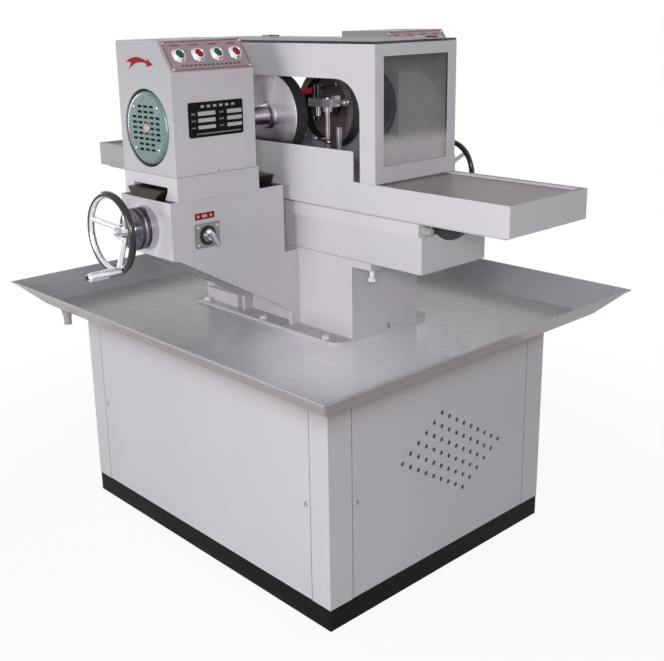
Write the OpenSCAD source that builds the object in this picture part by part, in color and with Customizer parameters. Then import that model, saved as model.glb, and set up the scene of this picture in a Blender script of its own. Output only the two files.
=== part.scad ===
// Double-end wet face grinder for stone and concrete specimens.
// Origin: centre of the base on the floor. +X is the table travel, +Y the spindle axes, +Z up.

/* [Cabinet] */
// Width of the cabinet along the table travel
cab_w = 900; // [880:5:960]
// Depth of the cabinet along the spindles
cab_d = 716; // [690:2:740]
// Height of the cabinet's top above the floor
cab_h = 524; // [480:2:560]
// Height of the base frame
plinth_h = 50; // [40:1:60]
// Width of a corner post on the long sides
post_w = 55; // [45:1:65]
// Thickness of the cabinet panels
sheet_t = 2; // [1.5:0.1:3]
// Diameter of the vent holes
vent_d = 8; // [6:0.5:10]
// Spacing of the vent holes
vent_pitch = 30; // [26:1:32]

/* [Drip tray] */
// Width of the tray floor
tray_w = 1046; // [1020:2:1080]
// Depth of the tray floor
tray_d = 878; // [860:2:890]
// How far the rim stands outside the floor
tray_flare = 62; // [50:1:75]
// Height of the rim above the underside
tray_rise = 60; // [45:1:70]
// Thickness of the tray sheet
tray_t = 3; // [2:0.5:4]
// Outlet radius of the drain spout
spout_r = 10; // [8:0.5:14]

/* [Bed and table] */
// Width of the column
column_w = 532; // [500:2:560]
// Depth of the column
column_d = 212; // [206:1:220]
// Height of the column above the tray floor
column_h = 189; // [180:1:210]
// Length of the bed
bed_l = 924; // [860:2:960]
// Height of the bed casting
bed_h = 78; // [74:1:84]
// Height of the guide rails
rail_h = 28; // [26:1:30]
// Length of the table
table_l = 1411; // [1300:1:1450]
// Width of the table
table_w = 250; // [244:1:256]
// Height of the table slab
table_h = 61; // [58:1:66]
// Table travel each way
table_travel = 200; // [120:5:220]

/* [Guard] */
// Length of the splash guard
guard_l = 710; // [680:2:740]
// Height of the splash guard
guard_h = 279; // [268:1:300]
// Radius of the arch corners
arch_r = 70; // [40:1:80]
// Height of the splash boards
board_h = 60; // [40:1:62]

/* [Grinding heads] */
// Height of the bracket tops above the bed
arm_rise = 72; // [70:1:76]
// Width of a bracket
arm_w = 184; // [176:2:190]
// Distance of the bracket ends from the centre plane
arm_reach = 449; // [446:1:470]
// Height of a head slide
slide_h = 50; // [46:1:54]
// Width of a head
head_w = 194; // [190:1:200]
// Length of a head
head_l = 208; // [206:1:216]
// Height of a head housing
head_h = 269; // [262:1:280]
// Spindle height above the slide
spindle_up = 94; // [92:1:98]
// Spindle radius
spindle_r = 14; // [12:0.5:16]
// Radius of the cup wheels
wheel_r = 95; // [90:1:98]
// Radius of the fan opening
fan_hole_r = 80; // [78:1:84]

/* [Controls] */
// Radius of the handwheels to the rim's centre line
handwheel_r = 80; // [70:1:85]
// Radius of the feed screws
screw_r = 10; // [8:0.5:12]
// Radius of a button cap
button_r = 9; // [7:0.5:10]
// Spacing of the buttons
button_pitch = 47.4; // [40:0.2:49]
// Travel of a button
button_travel = 3; // [2:0.5:4]

/* [Hidden] */
$fn = 64;
e = 0.5;
gap = 0.3;
run = 0.05;
seat = 0.02;

// Paints
paint = [0.80, 0.79, 0.81];
paint_dark = [0.60, 0.59, 0.62];
black = [0.06, 0.06, 0.06];
steel = [0.72, 0.73, 0.75];
chrome = [0.86, 0.86, 0.88];
iron = [0.42, 0.43, 0.44];
teal = [0.36, 0.50, 0.50];

// Cabinet
half_w = cab_w / 2;
half_d = cab_d / 2;
post_d = post_w + 10;
lip_w = 30;
frame_t = 3;
skin = sheet_t + gap;
panel_screw_z = plinth_h + 0.46 * (cab_h - plinth_h);
screw_head_r = 5.5;
screw_shank_r = 2.5;
screw_inset = 14;
panel_x = half_w - post_w - gap;
panel_y = half_d - post_d - gap;
vent_cols = 9;
vent_rows = 6;
vent_turn = 32;
vent_y = 24;
vent_z = plinth_h + 233;
plinth_wall = 50;
beam_w = 54;
beam_h = 40;
beam_t = 6;

// Cabinet contents
inner_floor = plinth_h + frame_t;
box_t = 3;
tank_x = -half_w + 230;
tank_w = 320;
tank_d = 500;
tank_h = 177;
pump_x = tank_x + 20;
pump_r = 55;
pump_h = 150;
pump_plate_t = 4;
pump_plate_w = 140;
suction_r = 30;
hose_r = 9;
hose_h = 60;
box_x = half_w - 220;
box_w = 280;
box_d = 440;
box_h = 57;
relay_l = 200;
relay_w = 56;
relay_h = 87;
relay_pitch = 75;

// Tray
tray_y = 9;
tray_floor = cab_h + tray_t;
tray_rim_z = cab_h + tray_rise;
spout_x = -tray_w / 2 + 38;
spout_y = tray_y - tray_d / 2 + 34;
spout_top_r = spout_r + 9;
spout_h = 54;
spout_stub = 18;
hose_wall = 2.5;

// Column, bed and rails
foot_t = 7;
foot_margin = 49;
foot_y = column_d / 2 + foot_margin;
foot_r = 28;
casting_wall = 12;
flange_t = 16;
flange_reach = 57;
bed_z = tray_floor + column_h;
bed_top = bed_z + bed_h;
bed_w = 204;
bed_floor = 10;
rail_w = 40;
rail_top = bed_top + rail_h;
rail_y = bed_w / 2 + 8 - rail_w / 2;
runner_h = 8;
runner_w = 36;
table_z = rail_top + runner_h;
table_top = table_z + table_h;
table_x = -14.5;
vee_w = 20;
vee_h = 6;
foot_bolt_x = [-218, 4, 220];
foot_bolt_y = foot_y - 12;
foot_bolt_r = 6;
foot_bolt_head_r = 9;
lug_x = -172;
lug_w = 122;
lug_d = 24;
lug_h = 31;
weep_y = 12;
weep_w = 9;
weep_h = 13;
jack_x = column_w / 2 + 48;
jack_y = -column_d / 2 + 14;
jack_r = 6;
jack_drop = 26;

// Rack and pinion
tooth_m = 3;
pinion_teeth = 24;
pinion_r = tooth_m * pinion_teeth / 2;
rack_h = 24;
rack_w = 20;
rack_tip = table_z - rack_h;
pinion_z = rack_tip + tooth_m - pinion_r;
pinion_w = 24;
backlash = 0.12;
pressure = 20;
pinion_shaft_r = 9;
rack_l = 2 * table_travel + 60;
rack_count = floor(rack_l / (PI * tooth_m) / 2);
notch_r = 88;
notch_z = bed_top + 67;
gearbox_w = 90;
gearbox_y0 = 18;
gearbox_y1 = 66;
gear_motor_r = 42;
gear_motor_l = 160;
bed_inner_y = bed_w / 2 - casting_wall;
boss_d = 18;

// Brackets
arm_top = bed_top + arm_rise;
arm_wall = 10;
arm_half = arm_w / 2;
arm_inner = 147;
arm_low = arm_top - 121;
arm_knee = arm_low - 33;
arm_tip_y = arm_reach - 16;
gusset_y = column_d / 2 + 25;
gusset_z = tray_floor + foot_t + 36;
dove_top = 62;
dove_foot = 51;
dove_h = 20;
dove_room = 7;
gib_w = 16;
gib_room = 24;
screw_z = arm_top - 61;
flange_r = 47;
flange_h = 17;

// Heads
head_out = arm_reach - 16;
head_in = head_out - head_l;
slide_in = head_in - 6;
slide_top = arm_top + slide_h;
head_top = slide_top + head_h;
spindle_z = slide_top + spindle_up;
head_half = head_w / 2;
head_wall = 3;
slope_top_x = head_half - 44;
slope_low_z = head_top - 62;
slope_n = [62, 44] / norm([62, 44]);
slope_mid = [(slope_top_x + head_half) / 2, (head_top + slope_low_z) / 2];
slope_turn = atan2(slope_n[0], slope_n[1]);
feed_in = 36;
feed_out = 4;
nut_l = 36;
nut_y = (head_out + head_in) / 2 - 4;
nut_w = 34;
slot_w = nut_w + 8;
slot_in = nut_y - nut_l / 2 - feed_in - 4;
slot_out = nut_y + nut_l / 2 + feed_out + 4;
stator_r = 66;
stator_out = head_out - 42;
stator_in = head_in + 34;
cowl_r = 77.5;
cowl_t = 2;
cowl_edge = 11;
cowl_out = head_out + 1;
cowl_slots_r = 55;
fan_out = cowl_out - 8;
fan_in = fan_out - 20;
bearing_r = spindle_r + 12;
bearing_w = 12;
rotor_r = 40;
wheel_back = 176;
wheel_rim = 104;
wheel_face = 70;
wheel_seat = wheel_rim + 8;
wheel_boss_r = 26;
nose_r = 20;
nut_face = 92;
head_nut_r = spindle_r + 8;
spindle_hole_r = spindle_r + 16;
bezel_r = button_r + 7;
bezel_top_r = button_r + 3;
bezel_h = 9;
button_l = 22;
button_y = (head_out + head_in) / 2 - 3;
plate_t = 1.5;
plate_w = 72;
plate_l = head_l - 5;
name_plate_up = 76;
name_plate_w = 140;
name_plate_h = 71;

// Guard
guard_w = table_w;
guard_t = 2.5;
guard_z = table_top + gap;
guard_top = table_top + guard_h;
guard_half = guard_l / 2;
arch_half = guard_half - 44;
arch_top = guard_top - 70;
stile = 25;
window_low = 34;
window_high = 24;
pane_t = 4;
lid_t = 5;
hinge_y = guard_w / 2 + 7;
hinge_z = guard_top + 3;
hinge_r = 5.5;
hinge_pin_r = 3;
hinge_l = 60;
hinge_x = guard_half - 90;
trough_rim = 12;
trough_depth = 5;
board_half = arch_half - 20;

// Fixture
fixture_x = 68;
fixture_l = 156;
fixture_half = 30;
fixture_t = 22;
fixture_hole_r = 6;
fixture_hole_in = 14;
vee_x = fixture_x - 35;
vee_block_w = 62;
vee_block_h = 44;
vee_side = 36;
post_x = fixture_x + 16;
pin_x = fixture_x + 53;
pin_r = 6;
pin_h = 73;
post_r = 5;
post_seat = 4;
post_top = table_top + 134;
bar_x = post_x - 13;
bar_l = 70;
bar_w = 30;
bar_h = 18;
stop_h = 26;
knob_r = 8;
ball_reach = 36;
ball_up = 12;
clamp_x = post_x - 30;
clamp_screw_r = 5;
clamp_pad_r = 11;
clamp_drop = 30;
lever_hub_r = 9;
lever_up = 21;
lever_r = 6.5;
lever_l = 50;
lever_tilt = 103;
lever_turn = 190;
tail_r = 3.5;
tail_l = 52;

// Handwheels
wheel_hub_r = 16;
hub_y0 = arm_reach + 38;
hub_y1 = arm_reach + 70;
rim_y = arm_reach + 86;
rim_r = 7.5;
dial_y0 = arm_reach + flange_h + 1;
dial_r = 44;
crank_angle = -62;
crank_r = 81;
crank_x = crank_r * cos(crank_angle);
crank_z = screw_z + crank_r * sin(crank_angle);
crank_y1 = rim_y + 88;
grip_r = 10;
grip_pin_r = 5;
grip_y0 = rim_y + 9;
grip_y1 = rim_y + 84;

// Switch
switch_y = -arm_reach + 88;
switch_z = arm_top - 79;
switch_w = 62;
switch_h = 52;

// A box given by its low and high corners
module block(low, high) {
    translate(low) cube(high - low);
}

// A cylinder along +Y between two places
module rod_y(x, z, y0, y1, r) {
    translate([x, y0, z]) rotate([-90, 0, 0]) cylinder(r = r, h = y1 - y0);
}

// A cylinder along +X between two places
module rod_x(y, z, x0, x1, r) {
    translate([x0, y, z]) rotate([0, 90, 0]) cylinder(r = r, h = x1 - x0);
}

// An upright plate with rounded corners, lying in the XY plane
module rounded_plate(w, d, r, h) {
    linear_extrude(h) union() {
        square([w - 2 * r, d], center = true);
        square([w, d - 2 * r], center = true);
        for (sx = [-1, 1], sy = [-1, 1]) {
            translate([sx * (w / 2 - r), sy * (d / 2 - r)]) circle(r = r);
        }
    }
}

// A turned part about a line along Y, from [radius, distance towards -Y] points
module turned_y(points, z) {
    translate([0, 0, z]) rotate([90, 0, 0]) rotate_extrude() polygon(points);
}

// A profile in the XZ plane, extruded along Y between two places
module along_y(points, y0, y1) {
    translate([0, y1, 0]) rotate([90, 0, 0]) linear_extrude(y1 - y0) polygon(points);
}

// ---------- Cabinet ----------

module plinth() {
    color(black) difference() {
        block([-half_w + 1, -half_d + 1, 0], [half_w - 1, half_d - 1, plinth_h]);
        for (sx = [0, 1]) mirror([sx, 0, 0]) {
            block([plinth_wall / 2, -half_d + plinth_wall, -e],
                  [half_w - plinth_wall, half_d - plinth_wall, plinth_h + e]);
        }
    }
}

// One corner post with the lips that the panels screw to
module corner_post() {
    linear_extrude(cab_h - plinth_h) union() {
        translate([half_w - post_w, half_d - skin - frame_t]) square([post_w, skin + frame_t]);
        translate([half_w - skin - frame_t, half_d - post_d]) square([skin + frame_t, post_d]);
        translate([half_w - post_w - lip_w, half_d - skin - frame_t]) square([lip_w + e, frame_t]);
        translate([half_w - skin - frame_t, half_d - post_d - lip_w]) square([frame_t, lip_w + e]);
    }
}

module cabinet_frame() {
    color(paint) difference() {
        union() {
            for (sx = [0, 1], sy = [0, 1]) {
                mirror([sx, 0, 0]) mirror([0, sy, 0]) translate([0, 0, plinth_h]) corner_post();
            }
            frame_ring(cab_h - frame_t, 36, frame_t);
            block([-half_w + skin, -half_d + skin, plinth_h],
                  [half_w - skin, half_d - skin, plinth_h + frame_t]);
            for (sy = [-1, 1]) beam(sy * foot_bolt_y);
            frame_ring(cab_h - 30, frame_t, 30);
            frame_ring(plinth_h, frame_t, 30);
        }
        panel_screw_places() screw_hole(screw_shank_r);
        for (sy = [-1, 1], x = foot_bolt_x) {
            translate([x, sy * foot_bolt_y, cab_h - 20]) cylinder(r = foot_bolt_r + 0.5, h = 40);
        }
    }
}

// A channel under the tray that carries the column's foot
module beam(y) {
    difference() {
        block([-half_w + skin + 1, y - beam_w / 2, cab_h - beam_h],
              [half_w - skin - 1, y + beam_w / 2, cab_h]);
        block([-half_w + 40, y - beam_w / 2 + beam_t, cab_h - beam_h - e],
              [half_w - 40, y + beam_w / 2 - beam_t, cab_h - beam_t]);
    }
}

// A ring inside the panels: width across and height
module frame_ring(z, w, h) {
    difference() {
        block([-half_w + skin, -half_d + skin, z], [half_w - skin, half_d - skin, z + h]);
        block([-half_w + skin + w, -half_d + skin + w, z - e],
              [half_w - skin - w, half_d - skin - w, z + h + e]);
    }
}

// Puts its child at each panel screw, axis outward along +Z of the child
module panel_screw_places() {
    for (sx = [-1, 1], sy = [-1, 1]) {
        translate([sx * (panel_x - screw_inset), sy * half_d, panel_screw_z]) {
            rotate([sy * -90, 0, 0]) children();
        }
        translate([sx * half_w, sy * (panel_y - screw_inset), panel_screw_z]) {
            rotate([0, sx * 90, 0]) children();
        }
    }
}

module screw_hole(r) {
    translate([0, 0, -20]) cylinder(r = r, h = 40);
}

module long_panel() {
    difference() {
        block([-panel_x, -half_d, plinth_h + 1], [panel_x, -half_d + sheet_t, cab_h - 1]);
        panel_screw_places() screw_hole(screw_shank_r + 0.5);
    }
}

module end_panel() {
    difference() {
        block([half_w - sheet_t, -panel_y, plinth_h + 1], [half_w, panel_y, cab_h - 1]);
        panel_screw_places() screw_hole(screw_shank_r + 0.5);
    }
}

module front_panel() {
    color(paint) long_panel();
}

module rear_panel() {
    color(paint) mirror([0, 1, 0]) long_panel();
}

module vent_panel() {
    color(paint_dark) difference() {
        end_panel();
        for (i = [0 : vent_cols - 1], j = [0 : vent_rows - 1]) {
            u = (i - (vent_cols - 1) / 2) * vent_pitch;
            v = (j - (vent_rows - 1) / 2) * vent_pitch;
            rod_x(vent_y + (u - v) * cos(vent_turn), vent_z - (u + v) * sin(vent_turn),
                  half_w - 10, half_w + 10, vent_d / 2);
        }
    }
}

module side_panel() {
    color(paint_dark) mirror([1, 0, 0]) end_panel();
}

module panel_screws() {
    color(steel) panel_screw_places() union() {
        cylinder(r1 = screw_head_r, r2 = screw_head_r - 1.5, h = 3);
        translate([0, 0, -skin - frame_t]) cylinder(r = screw_shank_r - seat, h = skin + frame_t + 1);
    }
}

// ---------- Tray ----------

module tray_solid(grow, z0, z1) {
    hull() {
        translate([0, tray_y, z0]) linear_extrude(0.1) {
            square([tray_w + 2 * grow, tray_d + 2 * grow], center = true);
        }
        translate([0, tray_y, z1 - 0.1]) linear_extrude(0.1) {
            square([tray_w + 2 * tray_flare + 2 * grow, tray_d + 2 * tray_flare + 2 * grow],
                   center = true);
        }
    }
}

module drip_tray() {
    color(paint_dark) difference() {
        union() {
            tray_solid(0, cab_h, tray_rim_z);
            translate([0, tray_y, tray_rim_z - tray_t]) linear_extrude(tray_t) {
                square([tray_w + 2 * tray_flare, tray_d + 2 * tray_flare], center = true);
            }
            translate([spout_x, spout_y, cab_h - spout_h]) {
                cylinder(r = spout_r, h = spout_stub + 1);
                translate([0, 0, spout_stub]) {
                    cylinder(r1 = spout_r, r2 = spout_top_r, h = spout_h - spout_stub + 1);
                }
            }
        }
        tray_solid(-tray_t - 1, tray_floor, tray_rim_z + 0.1);
        translate([spout_x, spout_y, cab_h - spout_h - e]) cylinder(r = spout_r - hose_wall, h = 80);
        for (sy = [-1, 1], x = foot_bolt_x) {
            translate([x, sy * foot_bolt_y, cab_h - e]) cylinder(r = foot_bolt_r + 0.5, h = 20);
        }
        block([-column_w / 2 + 40, -column_d / 2 + 30, cab_h - e],
              [column_w / 2 - 40, column_d / 2 - 30, tray_floor + e]);
    }
}

// ---------- Column and bed ----------

module bed_casting() {
    color(paint) difference() {
        union() {
            translate([0, 0, tray_floor]) rounded_plate(column_w, 2 * foot_y, foot_r, foot_t);
            block([-column_w / 2, -column_d / 2, tray_floor], [column_w / 2, column_d / 2, bed_z]);
            block([-column_w / 2 - flange_reach, -column_d / 2, bed_z - flange_t],
                  [column_w / 2 + flange_reach, column_d / 2, bed_z]);
            block([-bed_l / 2, -bed_w / 2, bed_z - e], [bed_l / 2, bed_w / 2, bed_top]);
            for (sy = [-1, 1]) {
                block([lug_x - lug_w / 2, sy * (column_d / 2 + lug_d / 2) - lug_d / 2, tray_floor],
                      [lug_x + lug_w / 2, sy * (column_d / 2 + lug_d / 2) + lug_d / 2,
                       tray_floor + foot_t + lug_h]);
            }
        }
        column_hollow();
        bed_hollow();
        rod_x(0, notch_z, -bed_l, bed_l, notch_r);
        for (sy = [-1, 1], x = foot_bolt_x) {
            translate([x, sy * foot_bolt_y, tray_floor - e]) cylinder(r = foot_bolt_r + seat, h = 30);
        }
        block([column_w / 2 - 30, weep_y - weep_w / 2, tray_floor + foot_t - e],
              [column_w / 2 + 10, weep_y + weep_w / 2, tray_floor + foot_t + weep_h]);
        translate([jack_x, jack_y, bed_z - 60]) cylinder(r = jack_r + seat, h = 60 + bed_floor);
    }
    color(paint) difference() {
        block([-24, -bed_inner_y - e, pinion_z - 22], [24, -bed_inner_y + boss_d, pinion_z + 20]);
        rod_y(0, pinion_z, -bed_inner_y - 1, 0, pinion_shaft_r + run);
    }
}

module column_hollow() {
    block([-column_w / 2 + casting_wall, -bed_inner_y, tray_floor - e],
          [column_w / 2 - casting_wall, bed_inner_y, bed_z + bed_floor + e]);
}

// Space between the bed's walls, left open at the top
module bed_hollow() {
    block([-bed_l / 2 + casting_wall, -bed_inner_y, bed_z + bed_floor],
          [bed_l / 2 - casting_wall, bed_inner_y, bed_top + e]);
}

module guide_rails() {
    color(steel) {
        rail(-rail_y);
        rail(rail_y);
        along_x([[-rail_y - vee_w / 2, rail_top - e], [-rail_y + vee_w / 2, rail_top - e],
                 [-rail_y, rail_top + vee_h]], -bed_l / 2 + 2, bed_l / 2 - 2);
    }
}

module rail(y) {
    block([-bed_l / 2 + 2, y - rail_w / 2, bed_top], [bed_l / 2 - 2, y + rail_w / 2, rail_top]);
}

// A profile of [y, z] points extruded along X between two places
module along_x(points, x0, x1) {
    translate([x0, 0, 0]) rotate([90, 0, 90]) linear_extrude(x1 - x0) polygon(points);
}

module foot_bolts() {
    color(chrome) {
        for (sy = [-1, 1], x = foot_bolt_x) {
            translate([x, sy * foot_bolt_y, 0]) {
                translate([0, 0, tray_floor + foot_t]) cylinder(r = foot_bolt_head_r, h = 7, $fn = 6);
                translate([0, 0, cab_h - beam_t - 12]) {
                    cylinder(r = foot_bolt_r, h = beam_t + tray_t + foot_t + 14);
                }
                translate([0, 0, cab_h - beam_t - 9]) cylinder(r = foot_bolt_head_r, h = 8.7, $fn = 6);
            }
        }
        translate([jack_x, jack_y, bed_z - flange_t - jack_drop]) {
            cylinder(r = jack_r, h = jack_drop + flange_t + 6);
            cylinder(r = foot_bolt_head_r, h = 8, $fn = 6);
        }
    }
}

// ---------- Table drive ----------

// Points of one flank of an involute tooth, from the base circle outward
function involute(base, t) = [base * (cos(t) + t * PI / 180 * sin(t)),
                              base * (sin(t) - t * PI / 180 * cos(t))];
function turn(p, a) = [p[0] * cos(a) - p[1] * sin(a), p[0] * sin(a) + p[1] * cos(a)];
function flip(p) = [p[0], -p[1]];
function reversed(list) = [for (i = [len(list) - 1 : -1 : 0]) list[i]];

pinion_base = pinion_r * cos(pressure);
pinion_tip = pinion_r + tooth_m;
pinion_root = pinion_r - 1.25 * tooth_m;
tip_t = sqrt(pow(pinion_tip / pinion_base, 2) - 1) * 180 / PI;
pitch_t = tan(pressure) * 180 / PI;
half_tooth = 90 / pinion_teeth - backlash / pinion_r * 90 / PI;
flank_turn = -half_tooth - (pitch_t - pressure);
flank = [for (i = [0 : 5]) turn(involute(pinion_base, tip_t * i / 5), flank_turn)];
tooth = concat([turn([pinion_root - 1, 0], flank_turn)], flank,
               [for (p = reversed(flank)) flip(p)], [flip(turn([pinion_root - 1, 0], flank_turn))]);

module feed_pinion() {
    color(steel) {
        translate([0, pinion_w / 2, pinion_z]) rotate([90, 0, 0]) linear_extrude(pinion_w) union() {
            circle(r = pinion_root);
            for (i = [0 : pinion_teeth - 1]) {
                rotate(90 + 360 / pinion_teeth * (i + 0.5)) polygon(tooth);
            }
        }
        rod_y(0, pinion_z, -bed_inner_y + gap, gearbox_y1 - 6, pinion_shaft_r);
        rod_y(0, pinion_z, -bed_inner_y + boss_d + gap, -pinion_w / 2 + e, pinion_shaft_r + 6);
    }
}

module feed_rack() {
    tooth_pitch = PI * tooth_m;
    low = tooth_pitch / 4 - backlash / 2 - tooth_m * tan(pressure);
    high = tooth_pitch / 4 - backlash / 2 + 1.25 * tooth_m * tan(pressure);
    root = rack_tip + 2.25 * tooth_m;
    color(steel) {
        block([-rack_l / 2, -rack_w / 2, root - 0.01], [rack_l / 2, rack_w / 2, table_z]);
        for (i = [-rack_count + 1 : rack_count - 1]) {
            x = i * tooth_pitch;
            along_y([[x - low, rack_tip], [x + low, rack_tip], [x + high, root], [x - high, root]],
                    -rack_w / 2, rack_w / 2);
        }
    }
}

module feed_motor() {
    color(iron) difference() {
        union() {
            block([-gearbox_w / 2, gearbox_y0, pinion_z - 46],
                  [gearbox_w / 2, gearbox_y1, bed_top + 20]);
            block([-gearbox_w / 2 + 10, gearbox_y1 - e, pinion_z - 36],
                  [gearbox_w / 2 - 10, bed_inner_y, bed_top - 6]);
            rod_x(gear_motor_r + 3, pinion_z - 26, gearbox_w / 2 - e,
                  gearbox_w / 2 + gear_motor_l, gear_motor_r);
            rod_x(gear_motor_r + 3, pinion_z - 26, gearbox_w / 2 + gear_motor_l - e,
                  gearbox_w / 2 + gear_motor_l + 18, gear_motor_r - 12);
        }
        rod_y(0, pinion_z, 0, gearbox_y1 - 4, pinion_shaft_r + run);
    }
}

// ---------- Cabinet contents ----------

// An open box standing on the cabinet floor
module open_box(x, w, d, h) {
    difference() {
        block([x - w / 2, -d / 2, inner_floor], [x + w / 2, d / 2, inner_floor + h]);
        block([x - w / 2 + box_t, -d / 2 + box_t, inner_floor + box_t],
              [x + w / 2 - box_t, d / 2 - box_t, inner_floor + h + 1]);
    }
}

module coolant_tank() {
    color(paint_dark) open_box(tank_x, tank_w, tank_d, tank_h);
}

module coolant_pump() {
    tank_top = inner_floor + tank_h;
    color(iron) {
        difference() {
            block([pump_x - pump_plate_w / 2, -tank_d / 2 - 10, tank_top],
                  [pump_x + pump_plate_w / 2, tank_d / 2 + 10, tank_top + pump_plate_t]);
            translate([pump_x, 0.4 * tank_d, tank_top - e]) cylinder(r = 12, h = pump_plate_t + 1);
        }
        translate([pump_x, 0, tank_top + pump_plate_t - e]) cylinder(r = pump_r, h = pump_h);
        translate([pump_x, 0, inner_floor + 17]) cylinder(r = suction_r, h = tank_h - 16);
        translate([pump_x + pump_r + 5, 0, tank_top + e]) cylinder(r = hose_r, h = hose_h);
    }
}

module control_box() {
    color(paint) {
        open_box(box_x, box_w, box_d, box_h);
        for (i = [-2 : 2]) {
            block([box_x - relay_l / 2, i * relay_pitch - relay_w / 2, inner_floor + box_t - e],
                  [box_x + relay_l / 2, i * relay_pitch + relay_w / 2, inner_floor + relay_h]);
        }
    }
}

// ---------- Brackets ----------

// Side outline of a bracket in the [y, z] plane
function arm_side() = [[-arm_reach, arm_top], [-arm_inner, arm_top], [-arm_inner, arm_knee],
                       [-column_d / 2 - gap, arm_knee],
                       [-column_d / 2 - gap, tray_floor + foot_t + gap],
                       [-gusset_y, tray_floor + foot_t + gap], [-gusset_y, gusset_z],
                       [-arm_tip_y, arm_low - 4], [-arm_reach, arm_low]];

module arm_body() {
    difference() {
        union() {
            along_x(arm_side(), -arm_half, arm_half);
            along_y([[-dove_foot, arm_top - e], [dove_foot, arm_top - e], [dove_foot, arm_top],
                     [dove_top, arm_top + dove_h], [-dove_top, arm_top + dove_h],
                     [-dove_foot, arm_top]], -arm_reach, -arm_inner);
        }
        block([-arm_half + arm_wall, -arm_reach + arm_wall, 0],
              [arm_half - arm_wall, -arm_inner - arm_wall, arm_top - arm_wall]);
        block([-arm_half + arm_wall, -arm_inner - arm_wall - e, 0],
              [arm_half - arm_wall, 0, arm_knee - arm_wall]);
        block([-slot_w / 2, -slot_out, arm_top - 30], [slot_w / 2, -slot_in, arm_top + 40]);
        rod_y(0, screw_z, -arm_reach - 5, -arm_reach + arm_wall + 5, screw_r + run);
        along_y([[dove_foot - gib_w, arm_top], [dove_foot + 1, arm_top],
                 [dove_top + 1, arm_top + dove_h], [dove_top - 1, arm_top + dove_h]],
                -arm_reach - e, -head_out + gib_room);
    }
}

module near_arm() {
    color(paint) arm_body();
}

module far_arm() {
    color(paint) mirror([0, 1, 0]) arm_body();
}

module dial_flange() {
    difference() {
        rod_y(0, screw_z, -arm_reach - flange_h, -arm_reach, flange_r);
        rod_y(0, screw_z, -arm_reach - flange_h - 5, -arm_reach + 5, screw_r + run);
    }
}

module dial_flanges() {
    color(iron) {
        dial_flange();
        mirror([0, 1, 0]) dial_flange();
    }
}

module switch_plate() {
    color(iron) difference() {
        union() {
            block([arm_half, switch_y - switch_w / 2, switch_z - switch_h / 2],
                  [arm_half + 3, switch_y + switch_w / 2, switch_z + switch_h / 2]);
            rod_x(switch_y, switch_z, arm_half + 2, arm_half + 7, 14);
        }
        rod_x(switch_y, switch_z, arm_half + 4, arm_half + 20, 6 + run);
    }
}

module switch_lever() {
    color(chrome) {
        rod_x(switch_y, switch_z, arm_half + 4 + gap, arm_half + 17, 6);
        rod_x(switch_y, switch_z, arm_half + 7 + gap, arm_half + 17, 9);
        translate([arm_half + 17, switch_y, switch_z]) rotate([-146, 0, 0]) {
            translate([0, 0, -12]) cylinder(r1 = 7, r2 = 5, h = 36);
            translate([0, 0, -12]) sphere(r = 7);
            translate([0, 0, 24]) sphere(r = 5);
        }
    }
}

// ---------- Table and guard ----------

module work_table() {
    x0 = table_x - table_l / 2;
    x1 = table_x + table_l / 2;
    y = table_w / 2;
    color(paint) difference() {
        union() {
            block([x0, -y, table_z], [x1, y, table_top]);
            for (sy = [-1, 1]) {
                block([x0 + 20, sy * rail_y - runner_w / 2, rail_top + gap],
                      [x1 - 20, sy * rail_y + runner_w / 2, table_z + e]);
            }
        }
        block([x0 + trough_rim, -y + trough_rim, table_top - trough_depth],
              [x1 - trough_rim, y - trough_rim, table_top + e]);
        for (sy = [-1, 1], i = [0 : 3]) {
            px = x0 + 30 + i * (table_l - 60) / 4;
            block([px, sy * 38 - 22, table_z - e], [px + (table_l - 60) / 4 - 14, sy * 38 + 22,
                   table_top - 26]);
        }
        along_x([[-rail_y - vee_w / 2 - 1, rail_top - e], [-rail_y + vee_w / 2 + 1, rail_top - e],
                 [-rail_y, rail_top + vee_h + 1]], x0 - e, x1 + e);
    }
}

// Opening that the wheels pass through: a rectangle with two rounded upper corners
module arch(y0, y1) {
    translate([0, y1, 0]) rotate([90, 0, 0]) linear_extrude(y1 - y0) union() {
        translate([-arch_half, guard_z - 10]) square([2 * arch_half, arch_top - arch_r - guard_z + 10]);
        translate([-arch_half + arch_r, guard_z]) {
            square([2 * (arch_half - arch_r), arch_top - guard_z]);
        }
        for (sx = [-1, 1]) {
            translate([sx * (arch_half - arch_r), arch_top - arch_r]) circle(r = arch_r);
        }
    }
}

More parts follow.
